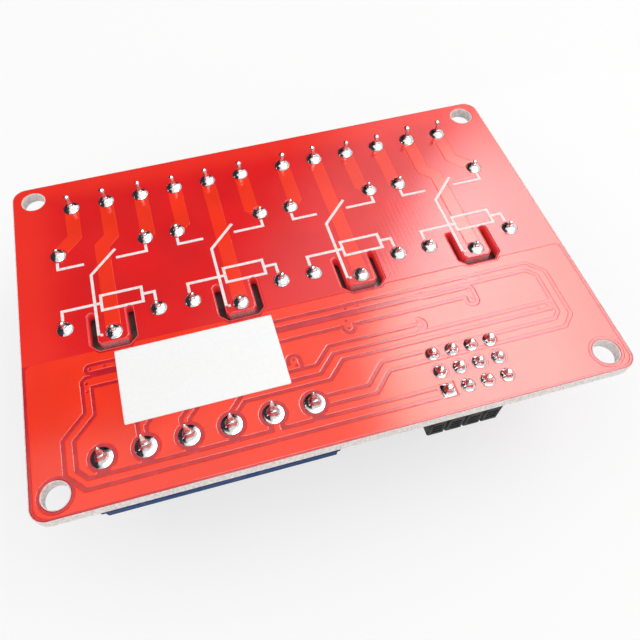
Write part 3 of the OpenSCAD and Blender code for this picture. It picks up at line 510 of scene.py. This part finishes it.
def softened(node, name, width, segments=2, source=None):
    """Copy of a CAD node with its sharp edges rounded."""
    bm = source or welded(node)
    bmesh.ops.dissolve_limit(bm, angle_limit=0.01, verts=bm.verts, edges=bm.edges)
    obj = from_bmesh(bm, name)
    bevel = obj.modifiers.new("rounding", "BEVEL")
    bevel.width = width
    bevel.segments = segments
    bevel.limit_method = "ANGLE"
    bevel.angle_limit = math.radians(38)
    bevel.harden_normals = True
    return dress(obj, SLOTS[node], node)


def upper_sheet(bm):
    """Cuts a flat solid down to its top faces."""
    top = max(v.co.z for v in bm.verts)
    up = {f for f in bm.faces if f.normal.z > 0.7 and all(abs(v.co.z - top) < LEVEL for v in f.verts)}
    bmesh.ops.delete(bm, geom=[f for f in bm.faces if f not in up], context="FACES")


def rim_of(bm):
    """Directed rim edges of a flat sheet of faces that look up: (from, to) with the sheet on the left."""
    corners = [e.link_loops[0] for e in bm.edges if e.is_boundary]
    return [(corner.vert, corner.link_loop_next.vert) for corner in corners]


def loops_of(edges):
    """Closed loops of vertices from directed edges."""
    follow = dict(edges)
    done, found = set(), []
    for a in follow:
        if a in done:
            continue
        loop, v = [], a
        while v not in done and v in follow:
            done.add(v)
            loop.append(v)
            v = follow[v]
        found.append(loop)
    return found


def widest(loop):
    """Extent of a loop along X."""
    return max(p.x for p in loop) - min(p.x for p in loop)


def inward_steps(rim, sharp_below):
    """The step into the sheet at each rim vertex that draws both its edges in by one unit."""
    sides = {}
    for a, b in rim:
        d = (b.co - a.co).to_2d()
        if d.length < 1e-9:
            continue
        n = Vector((-d.y, d.x)).normalized()
        sides.setdefault(a, []).append(n)
        sides.setdefault(b, []).append(n)
    into = {}
    for v, ns in sides.items():
        m = ns[0] + ns[-1]
        if m.length < 0.2:
            m = ns[0]
        m.normalize()
        into[v] = m / max(0.55, m.dot(ns[0]))
    # openings narrower than sharp_below lie round pads and end sharply under the solder
    for loop in loops_of(rim):
        if widest([v.co for v in loop]) < sharp_below:
            for v in loop:
                into[v] = into[v] * 0.2
    return into


def keep_off(rim, into, reach):
    """Shorten the inward steps that would meet a rim on the other side of a narrow stretch."""
    points, walls = [], []
    for a, b in rim:
        k = len(points)
        points += [(v.co.x, v.co.y, z) for v, z in ((a, -MM), (b, -MM), (b, MM), (a, MM))]
        walls.append((k, k + 1, k + 2, k + 3))
    tree = BVHTree.FromPolygons(points, walls)
    for v, m in into.items():
        here, far = Vector((v.co.x, v.co.y, 0)), m.length * reach
        room = far
        for spot, _, _, gap in tree.find_nearest_range(here, 2.4 * far):
            if gap > 1e-9 and (spot - here).to_2d().dot(m.normalized()) > 0.45 * gap:
                room = min(room, 0.40 * gap)
        into[v] = m * (room / far)


def even_out(rim, into, reach):
    """Let the steps grow little by little along the rim, and keep the direction of short edges in bends."""
    for _ in range(16):
        for a, b in rim:
            if a in into and b in into:
                edge = (b.co - a.co).to_2d()
                for v, w in ((a, b), (b, a)):
                    most = into[w].length + 0.5 * edge.length / reach
                    if into[v].length > most:
                        into[v] = into[v] * (most / into[v].length)
                if (edge + (into[b] - into[a]) * reach).dot(edge) < 0.2 * edge.length_squared:
                    into[a], into[b] = into[a] * 0.7, into[b] * 0.7


def uncross(rim, into, reach):
    """Halve the steps where the drawn-in rims still cross each other."""
    spots = list(into)
    order = {v: i for i, v in enumerate(spots)}
    lines = [(order[a], order[b]) for a, b in rim if a in order and b in order]
    for _ in range(10):
        drawn = [v.co.to_2d() + into[v] * reach for v in spots]
        made, _, _, sources, _, _ = delaunay_2d_cdt(drawn, lines, [], 0, 1e-9)
        crossed = [p for p, source in zip(made, sources) if not source]
        if not crossed:
            break
        for v in spots:
            if any((v.co.to_2d() - p).length < 0.3 * MM for p in crossed):
                into[v] = into[v] * 0.5


def fill_flat(bm, pairs, up=True):
    """Triangles between directed rim edges that all lie at one height."""
    spots = list({v: 0 for pair in pairs for v in pair})
    order = {v: i for i, v in enumerate(spots)}
    lines = [(order[a], order[b]) for a, b in pairs]
    made, _, faces, sources, _, _ = delaunay_2d_cdt([v.co.to_2d() for v in spots], lines, [], 0, 1e-9)
    z = spots[0].co.z
    verts = [spots[src[0]] if src else bm.verts.new((*p, z)) for p, src in zip(made, sources)]
    # the rim edges that cross each strip of Y, so that a point meets few of them
    strips, strip = {}, 0.4 * MM
    for a, b in lines:
        p, q = spots[a].co, spots[b].co
        for k in range(int(min(p.y, q.y) // strip), int(max(p.y, q.y) // strip) + 1):
            strips.setdefault(k, []).append((p.x, p.y, q.x, q.y))
    for face in faces:
        x, y = (sum(made[i][k] for i in face) / 3 for k in (0, 1))
        inside = False
        for ax, ay, bx, by in strips.get(int(y // strip), ()):
            if (ay > y) != (by > y) and x < ax + (y - ay) / (by - ay) * (bx - ax):
                inside = not inside
        if inside:
            new = bm.faces.new([verts[i] for i in face])
            new.normal_update()
            if (new.normal.z > 0) != up:
                new.normal_flip()


def soft_film(node, name, low, steps):
    """A flat film with its upper rim falling away: steps are (inset, height above low)."""
    bm = welded(node)
    if node == "power_tracks":
        # no sliver of a track is left beyond the row of output pads
        stubs = [f for f in bm.faces if all(v.co.y > PADS_Y + 0.5 * MM for v in f.verts)]
        bmesh.ops.delete(bm, geom=stubs, context="FACES")
    upper_sheet(bm)
    for e in [e for e in bm.edges if e.is_boundary and e.calc_length() > 0.5 * MM]:
        bmesh.ops.subdivide_edges(bm, edges=[e], cuts=min(60, int(e.calc_length() / (0.35 * MM))))
    rim = rim_of(bm)
    into = inward_steps(rim, 2.9 * MM)
    for mend in (keep_off, even_out, uncross):
        mend(rim, into, steps[-1][0])
    sheet = list(bm.verts)
    rings = [{v: bm.verts.new((*(v.co.to_2d() + m * inset), low + height)) for v, m in into.items()}
             for inset, height in steps]
    edges = [(a, b) for a, b in rim if a in into and b in into]
    for lower, upper in zip(rings, rings[1:]):
        for a, b in edges:
            bm.faces.new((lower[a], lower[b], upper[b], upper[a]))
    fill_flat(bm, [(rings[-1][a], rings[-1][b]) for a, b in edges])
    fill_flat(bm, [(rings[0][a], rings[0][b]) for a, b in edges], up=False)
    bmesh.ops.delete(bm, geom=sheet, context="VERTS")
    bmesh.ops.remove_doubles(bm, verts=bm.verts, dist=1e-8)
    return from_bmesh(bm, name, flat_tops=True)


def resample(loop, step):
    """The same closed loop with a point about every step, corners kept."""
    out = []
    for a, b in zip(loop, loop[1:] + loop[:1]):
        n = max(1, round((b - a).length / step))
        out += [a.lerp(b, i / n) for i in range(n)]
    return out


def crumple(x, y, z, size_mm, seed=0.0):
    """Smooth noise from -1 to 1 with lumps of about the given size."""
    size = size_mm * MM
    return noise.noise(Vector((x / size + seed, y / size, z / size)))


def stack(bm, rings):
    """Skin between each ring of vertices and the next one up."""
    for lower, upper in zip(rings, rings[1:]):
        for i in range(len(lower)):
            k = (i + 1) % len(lower)
            bm.faces.new((lower[i], lower[k], upper[k], upper[i]))


# ---------- board

def rough_edge(bm, loop, low, high, rows, depth):
    """Wall of a sawn edge, its points drawn back where fibres tore out. Returns its two end rings."""
    area = sum(a.x * b.y - b.x * a.y for a, b in zip(loop, loop[1:] + loop[:1])) / 2
    turn = 1 if area > 0 else -1
    n = len(loop)
    rings = []
    for j in range(rows + 1):
        t = j / rows
        z = low + (high - low) * t
        # close to the lacquer films less is torn out than half way up
        edge = min(1.0, 4 * min(t, 1 - t) + 0.15)
        ring = []
        for i, p in enumerate(loop):
            d = loop[(i + 1) % n] - loop[i - 1]
            inward = Vector((-d.y, d.x)).normalized() * turn
            pit = max(0.0, crumple(p.x, p.y, z * 0.6, 0.55) + 0.25 * crumple(p.x, p.y, z, 0.2, 9) + 0.12)
            wavy = 0.5 + 0.5 * crumple(p.x, p.y, 0, 5.0, 4)
            back = depth * min(1.0, (1.1 * pit + 0.22 * wavy) * edge)
            ring.append(bm.verts.new((p.x + inward.x * back, p.y + inward.y * back, z)))
        rings.append(ring)
    stack(bm, rings)
    return rings[0], rings[-1]


def cap(bm, rings):
    """Flat face with openings, between rings that lie at one height."""
    edges = [bm.edges.get(pair) for ring in rings for pair in zip(ring, ring[1:] + ring[:1])]
    bmesh.ops.triangle_fill(bm, use_beauty=True, use_dissolve=False, edges=edges)


class RB_OT_laminate(bpy.types.Operator):
    """Glass laminate with a sawn, slightly torn edge all round and in the routed slots"""
    bl_idname = "relay_board.laminate"
    bl_label = "Laminate"

    def execute(self, context):
        s = context.scene.rb_laminate
        sheet = welded("board_core")
        upper_sheet(sheet)
        loops = [[v.co.to_2d() for v in loop] for loop in loops_of(rim_of(sheet))]
        sheet.free()
        bm = bmesh.new()
        ends = []
        for loop in sorted(loops, key=len):
            if widest(loop) > 50 * MM:
                rows, depth, loop = 9, s.rough, resample(loop, s.step)
            elif widest(loop) > 2.8 * MM:
                # slots and fixing holes are routed and drilled cleaner than the outline
                rows, depth, loop = 6, 0.45 * s.rough, resample(loop, 0.25 * MM)
            else:
                rows, depth = 1, 0
            ends.append(rough_edge(bm, loop, CORE[0][2], CORE_TOP, rows, depth))
        cap(bm, [high for low, high in ends])
        cap(bm, [low for low, high in ends])
        dress(from_bmesh(bm, "laminate", smooth=False), "laminate", "board_core")
        return {"FINISHED"}


class RB_OT_lacquer(bpy.types.Operator):
    """Lacquer on both faces, drawn thin and rounded at the board's edge and at the pads"""
    bl_idname = "relay_board.lacquer"
    bl_label = "Lacquer"

    def execute(self, context):
        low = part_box("mask_solder_side")[0][2]
        steps = [(0, 0), (0.015 * MM, 0.022 * MM), (0.05 * MM, 0.040 * MM), (0.11 * MM, FACE - low)]
        film = soft_film("mask_solder_side", "lacquer_face", low, steps)
        dress(film, "solder_mask", "mask_solder_side")
        keep("mask_component_side")
        return {"FINISHED"}


class RB_OT_copper(bpy.types.Operator):
    """Covered copper: power tracks and the ground area, as low soft relief in the lacquer"""
    bl_idname = "relay_board.copper"
    bl_label = "Covered copper"

    def execute(self, context):
        w = context.scene.rb_lacquer.slope
        for node, name, part in (
                ("power_tracks", "tracks_relief", 0.45),
                ("ground_area", "ground_relief", 0.64)):
            rise = part * (COPPER - FACE)
            steps = [(0, 0), (0.22 * w, 0.45 * rise), (0.55 * w, 0.84 * rise), (w, rise)]
            dress(soft_film(node, name, FACE, steps), "masked_copper", node)
        return {"FINISHED"}


def label_sheet(lift):
    """Bare label with small rounded corners, sinking a little towards its rim and over uneven stretches."""
    a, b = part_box("label_sticker")
    nx, ny, r = 90, 46, 0.12 * MM

    def place(i, j):
        x = a[0] + (b[0] - a[0]) * i / nx
        y = a[1] + (b[1] - a[1]) * j / ny
        cx = min(max(x, a[0] + r), b[0] - r)
        cy = min(max(y, a[1] + r), b[1] - r)
        d = Vector((x - cx, y - cy))
        if d.x and d.y:
            d = d.normalized() * max(abs(x - cx), abs(y - cy))
            x, y = cx + d.x, cy + d.y
        return x, y

    def height(x, y):
        rim = min(x - a[0], b[0] - x, y - a[1], b[1] - y) / (0.5 * MM)
        fall = 0.018 * MM * (1 - min(1.0, max(0.0, rim)))
        sunk = max(0.0, crumple(x, y, 0, 3.4)) + 0.2 * abs(crumple(x, y, 0, 1.1, 5))
        return b[2] - fall - lift * sunk

    bm = bmesh.new()
    places = [[place(i, j) for j in range(ny + 1)] for i in range(nx + 1)]
    top = [[bm.verts.new((x, y, height(x, y))) for x, y in row] for row in places]
    under = [[bm.verts.new((x, y, a[2] - 0.02 * MM)) for x, y in row] for row in places]
    for grid, flip in ((top, False), (under, True)):
        for i in range(nx):
            for j in range(ny):
                q = (grid[i][j], grid[i + 1][j], grid[i + 1][j + 1], grid[i][j + 1])
                bm.faces.new(q[::-1] if flip else q)
    ring = [(i, 0) for i in range(nx)] + [(nx, j) for j in range(ny)]
    ring += [(i, ny) for i in range(nx, 0, -1)] + [(0, j) for j in range(ny, 0, -1)]
    for (i, j), (k, m) in zip(ring, ring[1:] + ring[:1]):
        bm.faces.new((under[i][j], under[k][m], top[k][m], top[i][j]))
    return from_bmesh(bm, "label_sheet")


class RB_OT_print(bpy.types.Operator):
    """Printed symbols in white ink and the bare white label"""
    bl_idname = "relay_board.print"
    bl_label = "Print and label"

    def execute(self, context):
        low, high = (corner[2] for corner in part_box("printed_symbols"))
        steps = [(0, 0), (0.01 * MM, 0.6 * (high - low)), (0.05 * MM, high - low)]
        dress(soft_film("printed_symbols", "ink_symbols", low, steps), "white_ink", "printed_symbols")
        dress(label_sheet(context.scene.rb_print.lift), "label_paper", "label_sticker")
        return {"FINISHED"}


# ---------- solder

def skin_rings(bm, rings):
    """Closed skin over a stack of rings, with flat ends."""
    stack(bm, rings)
    bm.faces.new(rings[0][::-1])
    bm.faces.new(rings[-1])


# Outlines of the joints from the pad's rim up to the lead, as shares of pad radius and joint height
FULL = ((1, 0), (1, 0.09), (0.97, 0.16), (0.90, 0.31), (0.77, 0.45), (0.60, 0.57), (0.46, 0.66),
        (0.40, 0.78), (0.37, 1))
LEAN = ((1, 0), (1, 0.055), (0.97, 0.085), (0.87, 0.12), (0.75, 0.17), (0.64, 0.26), (0.56, 0.42),
        (0.50, 0.62), (0.46, 0.82), (0.43, 1))
STEEP = ((1, 0), (1, 0.07), (0.97, 0.11), (0.90, 0.15), (0.82, 0.24), (0.73, 0.42), (0.65, 0.66),
         (0.59, 1))

# Lead ends above a joint: (height share, half width across, half width along, flatness of the section)
BEADED = ((0, 0.36, 0.24, 0.9), (0.35, 0.30, 0.21, 0.9), (0.60, 0.25, 0.18, 0.8), (0.70, 0.27, 0.21, 0.4),
          (0.80, 0.38, 0.33, 0), (0.88, 0.42, 0.37, 0), (0.96, 0.30, 0.27, 0), (1, 0.10, 0.09, 0))
STUB = ((0, 0.34, 0.22, 0.8), (0.5, 0.27, 0.20, 0.6), (0.72, 0.25, 0.20, 0.3), (0.85, 0.28, 0.24, 0),
        (0.95, 0.22, 0.18, 0), (1, 0.08, 0.07, 0))
WEDGE = ((0, 0.50, 0.42, 0.5), (0.36, 0.39, 0.27, 0.9), (0.62, 0.30, 0.21, 0.9), (0.82, 0.21, 0.16, 0.7),
         (0.94, 0.15, 0.12, 0.4), (1, 0.06, 0.05, 0))
POST = ((0, 0.46, 0.46, 0.5), (0.30, 0.35, 0.35, 1), (0.80, 0.33, 0.33, 1), (0.93, 0.30, 0.30, 0.9),
        (1, 0.23, 0.23, 0.8))

# Rows of joints: outline, leads, form of the lead ends, how much is cut off these at most, and the bend of
# their tips along X and along Y, in millimetres
JOINTS = (
    ("output", FULL, "out_cages_1", BEADED, 0.28, (-0.38, 0.05), (-0.05, 0.25)),
    ("relay", FULL, "relay_leads_1", STUB, 0.28, (-0.28, 0.10), (-0.05, 0.20)),
    ("input", LEAN, "in_cages", WEDGE, 0.28, (-0.20, 0.10), (0.30, 0.62)),
    ("header", STEEP, "header_pins", POST, 0.05, (-0.03, 0.03), (-0.03, 0.03)))

# Radius of a filled hole as a share of its pad's
HOLE = 0.55

# Height in the joints at which lead ends start, and how much the beads at their tips differ in size
FOOT = FACE + 0.2 * MM
BEADS = (0.82, 1.12)

# Height in the joints to which plain leads are drawn down
SUNK = FACE + 0.5 * MM


def outline_at(points, t):
    """Point on the soft curve through an outline, t from 0 to 1."""
    last = len(points) - 1
    i = min(int(t * last), last - 1)
    u = t * last - i
    p = [Vector(points[min(max(k, 0), last)]) for k in (i - 1, i, i + 1, i + 2)]
    return 0.5 * (2 * p[1] + (p[2] - p[0]) * u + (2 * p[0] - 5 * p[1] + 4 * p[2] - p[3]) * u * u
                  + (3 * p[1] - p[0] - 3 * p[2] + p[3]) * u ** 3)


def bar_point(a, rx, ry, flat):
    """Point of a bar section at angle a: an ellipse at flat 0, nearly a rectangle at flat 1."""
    power = 1 - 0.62 * flat
    c, d = math.cos(a), math.sin(a)
    return rx * math.copysign(abs(c) ** power, c), ry * math.copysign(abs(d) ** power, d)


def joint(bm, low, high, rng, s, outline, lead, square=False):
    """One solder joint: an uneven fillet wetted from its pad up to the section of its lead."""
    cx, cy = (low[0] + high[0]) / 2, (low[1] + high[1]) / 2
    r = (high[0] - low[0]) / 2
    tall = high[2] - CORE_TOP
    n, rows = s.turns, 2 * len(outline)
    lean = Vector((rng.uniform(-1, 1), rng.uniform(-1, 1))) * 0.08 * s.uneven * r
    phase, lobes, seed = rng.uniform(0, 6.28), rng.choice((2, 3, 3)), rng.uniform(0, 50)
    fill = 1 + rng.uniform(-0.22, 0.16) * s.uneven
    angles = [2 * math.pi * i / n for i in range(n)]
    rings = [[bm.verts.new((cx + HOLE * r * math.cos(a), cy + HOLE * r * math.sin(a), z)) for a in angles]
             for z in (low[2], CORE_TOP)]
    for j in range(rows + 1):
        t = j / rows
        rad, h = outline_at(outline, t)
        # unevenness fades out at the pad's rim and at the lead, and the top takes the lead's section
        side = min(1.0, 4 * t * (1 - t)) * min(1.0, t / 0.25)
        grip = max(0.0, (t - 0.5) / 0.5) ** 1.4
        ring = []
        for a in angles:
            lump = noise.noise(Vector((math.cos(a) * 1.4 + seed, math.sin(a) * 1.4, t * 2)))
            wave = 1 + math.sin(lobes * a + phase)
            rr = r * rad * (1 - 0.04 * s.uneven * wave * side - 0.09 * s.uneven * (0.5 + lump) * side)
            if square and t < 0.6:
                # the foot of a square pad reaches out to the pad's corners
                corner = min(1 / max(abs(math.cos(a)), abs(math.sin(a))), 1.30)
                rr *= 1 + (corner - 1) * (1 - t / 0.6) ** 0.7
            bx, by = bar_point(a, lead[1] * MM, lead[2] * MM, lead[3])
            px = (1 - grip) * rr * math.cos(a) + grip * bx
            py = (1 - grip) * rr * math.sin(a) + grip * by
            x = min(max(cx + px + lean.x * side * (1 - grip), low[0]), high[0])
            y = min(max(cy + py + lean.y * side * (1 - grip), low[1]), high[1])
            sag = 1 - 0.06 * s.uneven * (1 + math.sin(a + phase)) * side
            z = CORE_TOP + tall * h * (1 + (fill - 1) * side) * sag
            ring.append(bm.verts.new((x, y, min(z, high[2]))))
        rings.append(ring)
    skin_rings(bm, rings)


def lead_end(bm, cx, cy, low, high, form, rng, bend, size):
    """Solder coated end of a lead standing out of its joint, a little bent."""
    n, rows = 20, 18
    angles = [2 * math.pi * (i + 0.5) / n for i in range(n)]
    seed = rng.uniform(0, 50)
    turn = rng.uniform(-0.25, 0.25)
    rings = []
    for j in range(rows + 1):
        t = j / rows
        a, b = next(pair for pair in zip(form, form[1:]) if t <= pair[1][0] + 1e-9)
        u = (t - a[0]) / (b[0] - a[0])
        u = u * u * (3 - 2 * u)
        rx, ry, flat = (a[i] + (b[i] - a[i]) * u for i in (1, 2, 3))
        # the bead at the tip
        swell = size if t > 0.7 else 1
        wide = swell * (1 + 0.09 * noise.noise(Vector((seed, t * 4, 0)))) * MM
        x, y, z = cx + bend.x * t ** 1.6, cy + bend.y * t ** 1.6, low + (high - low) * t
        c, d = math.cos(turn * t), math.sin(turn * t)
        spots = [bar_point(angle, rx * wide, ry * wide, flat) for angle in angles]
        rings.append([bm.verts.new((x + px * c - py * d, y + px * d + py * c, z)) for px, py in spots])
    skin_rings(bm, rings)


def sunk_lead(node, name, width=0.05 * MM, top=SUNK):
    """Copy of leads whose ends above the board are drawn down into their joints."""
    bm = welded(node)
    for v in bm.verts:
        v.co.z = min(v.co.z, top)
    bmesh.ops.dissolve_degenerate(bm, dist=1e-6, edges=bm.edges)
    bmesh.ops.remove_doubles(bm, verts=bm.verts, dist=1e-7)
    return softened(node, name, width, source=bm)


class RB_OT_solder(bpy.types.Operator):
    """Solder joints of all through-hole parts, each one a little different"""
    bl_idname = "relay_board.solder"
    bl_label = "Solder joints"

    def execute(self, context):
        s = context.scene.rb_solder
        rng = random.Random(7)
        for row, outline, _, form, *_ in JOINTS:
            bm = bmesh.new()
            boxes = islands(row + "_joints")
            # the pad of the header's first pin is square
            first = min(boxes, key=lambda box: box[0][0] + box[0][1])
            for box in boxes:
                joint(bm, *box, rng, s, outline, form[1], row == "header" and box is first)
            dress(from_bmesh(bm, row + "_solder"), "solder", row + "_joints")
        keep("small_joints")
        return {"FINISHED"}


class RB_OT_lead_ends(bpy.types.Operator):
    """Solder coated lead ends that stand out of the joints"""
    bl_idname = "relay_board.lead_ends"
    bl_label = "Lead ends"

    def execute(self, context):
        rng = random.Random(11)
        for row, _, leads, form, cut, bend_x, bend_y in JOINTS:
            bm = bmesh.new()
            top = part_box(leads)[1][2]
            for low, high in islands(row + "_joints"):
                cx, cy = (low[0] + high[0]) / 2, (low[1] + high[1]) / 2
                tip = top - rng.uniform(0, cut) * MM
                bend = Vector((rng.uniform(*bend_x), rng.uniform(*bend_y))) * MM
                lead_end(bm, cx, cy, FOOT, tip, form, rng, bend, rng.uniform(*BEADS))
            dress(from_bmesh(bm, row + "_lead_ends"), "tinned_lead")
        return {"FINISHED"}


# ---------- component side

class RB_OT_terminals(bpy.types.Operator):
    """Screw terminals: blue housings, plated cages with their leads, slotted screws"""
    bl_idname = "relay_board.terminals"
    bl_label = "Screw terminals"

    def execute(self, context):
        w = context.scene.rb_plastic.round
        for i in CHANNELS:
            softened("out_housing_%d" % i, "output_housing_%d" % i, w)
            sunk_lead("out_cages_%d" % i, "output_cages_%d" % i)
        softened("in_housing", "input_housing", w)
        sunk_lead("in_cages", "input_cages")
        softened("terminal_screws", "screws", 0.06 * MM)
        return {"FINISHED"}


class RB_OT_relays(bpy.types.Operator):
    """Relays: cases, potted bases and leads"""
    bl_idname = "relay_board.relays"
    bl_label = "Relays"

    def execute(self, context):
        w = context.scene.rb_plastic.round
        for i in CHANNELS:
            softened("relay_case_%d" % i, "relay_case_round_%d" % i, 2 * w, 3)
            softened("relay_base_%d" % i, "relay_base_round_%d" % i, 0.05 * MM)
            sunk_lead("relay_leads_%d" % i, "relay_lead_round_%d" % i)
        return {"FINISHED"}


class RB_OT_header(bpy.types.Operator):
    """Pin header with its jumper caps"""
    bl_idname = "relay_board.header"
    bl_label = "Pin header"

    def execute(self, context):
        softened("header_base", "header_strip", 0.08 * MM)
        sunk_lead("header_pins", "header_gold_pins", 0.04 * MM, FACE + 0.3 * MM)
        for i in CHANNELS:
            softened("jumper_cap_%d" % i, "jumper_shell_%d" % i, 0.09 * MM)
        softened("jumper_leaves", "jumper_springs", 0.03 * MM)
        return {"FINISHED"}


class RB_OT_small_parts(bpy.types.Operator):
    """Optocouplers, diodes, transistors, chip resistors and lamps"""
    bl_idname = "relay_board.small_parts"
    bl_label = "Small parts"

    def execute(self, context):
        widths = {
            "optocoupler_bodies": 0.06, "diode_bodies": 0.06, "transistor_bodies": 0.05,
            "channel_lamps": 0.05, "power_lamp_body": 0.05, "chip_resistors": 0.03, "chip_ends": 0.03,
            "optocoupler_wings": 0.02, "diode_tabs": 0.03, "transistor_wings": 0.02}
        for node, width in widths.items():
            softened(node, node + "_round", width * MM)
        return {"FINISHED"}


# ---------- stage

# Height of the ceiling in millimetres, whose lamps hang over the board
CEILING = 310


def level(x0, y0, x1, y1, z):
    """Corners of a level rectangle."""
    return (x0, y0, z), (x1, y0, z), (x1, y1, z), (x0, y1, z)


def stage_face(name, corners, material):
    """One flat face of the stage, with its corners in millimetres."""
    mesh = bpy.data.meshes.new(name)
    mesh.from_pydata([Vector(c) * MM for c in corners], [], [(0, 1, 2, 3)])
    mesh.materials.append(material)
    obj = linked(name, mesh)
    return obj


def window_light(s, strength):
    """Colour and strength: full right of a slanting edge with a long soft tail, dim near the left."""
    x, y = s.axis("X"), s.axis("Y")
    slant = s.times(s.minus(x, s.math("MULTIPLY_ADD", y, 0.78, -24 * MM)), 0.79)
    bright = s.times(s.span(x, 55 * MM, 115 * MM), s.span(slant, -32 * MM, 30 * MM))
    bright = s.times(bright, s.span(y, 400 * MM, 220 * MM))
    bright = s.times(bright, s.span(x, 180 * MM, 260 * MM, 0.97, 0.68))
    tail = s.times(s.span(slant, -125 * MM, -45 * MM), 0.13)
    near = s.times(s.span(y, 135 * MM, 110 * MM), 0.15)
    light = s.math("MAXIMUM", bright, s.math("MAXIMUM", tail, near))
    # the near left part is warm, as from a wooden room
    warm = s.times(s.span(x, 150 * MM, 70 * MM), s.span(y, 200 * MM, 130 * MM))
    return s.mix(warm, (1, 1, 1), (1.0, 0.94, 0.82)), s.times(light, strength)


def card(name, corners, strength, tint=(1, 1, 1), window=False, mirrored=True):
    """Glowing card of the stage that no camera sees: it is only mirrored, or else it only lights."""
    s = Shader(name)
    s.tree.nodes.remove(s.skin)
    glow = s.add("ShaderNodeEmission")
    look = window_light(s, strength) if window else (tint, strength)
    s.plug(s.out.inputs[0], s.feed(glow, *look))
    obj = stage_face(name, corners, s.material)
    obj.visible_camera = False
    obj.visible_diffuse = not mirrored
    obj.visible_glossy = mirrored
    obj.visible_shadow = False


def white_floor():
    """Floor that keeps shadows and is otherwise seen nearly as plain white."""
    s = Shader("white_floor", Base_Color=(0.9, 0.9, 0.9), Roughness=0.9)
    s.show(s.times(s.seen(), 0.66), s.skin.outputs[0], s.add("ShaderNodeEmission").outputs[0])
    stage_face("floor", level(-1200, -1200, 1200, 1200, 0), s.material)


def white_room(fill):
    """World that lights with the given strength and is seen as plain white."""
    world = bpy.data.worlds.new("room")
    bpy.context.scene.world = world
    world.cycles.sampling_method = "NONE"
    t = Tree(world, "ShaderNodeOutputWorld")
    lit, shown = (t.feed(t.add("ShaderNodeBackground"), (1, 1, 1), strength) for strength in (fill, 1.0))
    t.show(t.seen(), lit, shown)


def lamps(s):
    """Soft window over the right, bright ceiling in front, and the dark far left of the room."""
    card("window_mirror", level(-260, -60, 330, 450, CEILING), s.window, window=True)
    card("window_light", level(40, -60, 330, 450, CEILING), s.key, window=True, mirrored=False)
    left = ((-140, -120, 1), (-140, 450, 1), (-140, 450, CEILING), (-140, -120, CEILING))
    far = ((-260, 450, 1), (230, 450, 1), (230, 450, CEILING), (-260, 450, CEILING))
    for name, corners in (
            ("dim_left", left),
            ("dim_far", far),
            ("dim_bench_far", level(-140, 45, 230, 450, 0.5)),
            ("dim_bench_left", level(-140, -120, -55, 45, 0.5))):
        card(name, corners, s.card, tint=(0.7, 0.7, 1.0))
    card("bright_near", level(-40, -330, 330, -60, CEILING), s.near)


def camera():
    """Camera near the board's near left corner, looking down along it."""
    cam = bpy.data.cameras.new("camera")
    cam.lens, cam.sensor_width = 35.3, 36
    cam.shift_x = 0.0484
    cam.clip_start, cam.clip_end = 0.005, 10
    eye = linked("camera", cam)
    back = Vector((-0.129, -0.512, 0.849)).normalized()
    right = Vector((0.229, 0.818, 0.528)).cross(back).normalized()
    up = back.cross(right).normalized()
    turn = Matrix((right, up, back)).transposed().to_4x4()
    eye.matrix_world = Matrix.Translation((-0.0133, -0.0484, 0.0850)) @ turn
    bpy.context.scene.camera = eye


class RB_OT_stage(bpy.types.Operator):
    """White floor, soft room light and the camera"""
    bl_idname = "relay_board.stage"
    bl_label = "Stage"

    def execute(self, context):
        s = context.scene.rb_stage
        white_floor()
        white_room(s.fill)
        lamps(s)
        camera()
        context.scene.view_settings.view_transform = "Standard"
        return {"FINISHED"}


# ---------- add-on

SETTINGS = (
    ("rb_lacquer", LacquerSettings), ("rb_laminate", LaminateSettings), ("rb_solder", SolderSettings),
    ("rb_plastic", PlasticSettings), ("rb_print", PrintSettings), ("rb_stage", StageSettings))
PIECES = (
    RB_OT_laminate, RB_OT_lacquer, RB_OT_copper, RB_OT_print, RB_OT_solder, RB_OT_lead_ends,
    RB_OT_terminals, RB_OT_relays, RB_OT_header, RB_OT_small_parts, RB_OT_stage)


class RB_PT_panel(bpy.types.Panel):
    """Sizes, colours and steps of the relay module board"""
    bl_idname = "RB_PT_panel"
    bl_label = "Relay Module Board"
    bl_space_type = "VIEW_3D"
    bl_region_type = "UI"
    bl_category = "Relay Board"

    def draw(self, context):
        layout = self.layout
        for attribute, kind in SETTINGS:
            box = layout.box()
            group = getattr(context.scene, attribute)
            for key in kind.__annotations__:
                box.prop(group, key)
        for op in PIECES:
            layout.operator(op.bl_idname)


def register():
    for attribute, kind in SETTINGS:
        bpy.utils.register_class(kind)
        setattr(bpy.types.Scene, attribute, PointerProperty(type=kind))
    for kind in (*PIECES, RB_PT_panel):
        bpy.utils.register_class(kind)


def unregister():
    for kind in (RB_PT_panel, *reversed(PIECES)):
        bpy.utils.unregister_class(kind)
    for attribute, kind in reversed(SETTINGS):
        delattr(bpy.types.Scene, attribute)
        bpy.utils.unregister_class(kind)


def main():
    register()
    for op in PIECES:
        group, name = op.bl_idname.split(".")
        getattr(getattr(bpy.ops, group), name)()


if __name__ == "__main__":
    main()
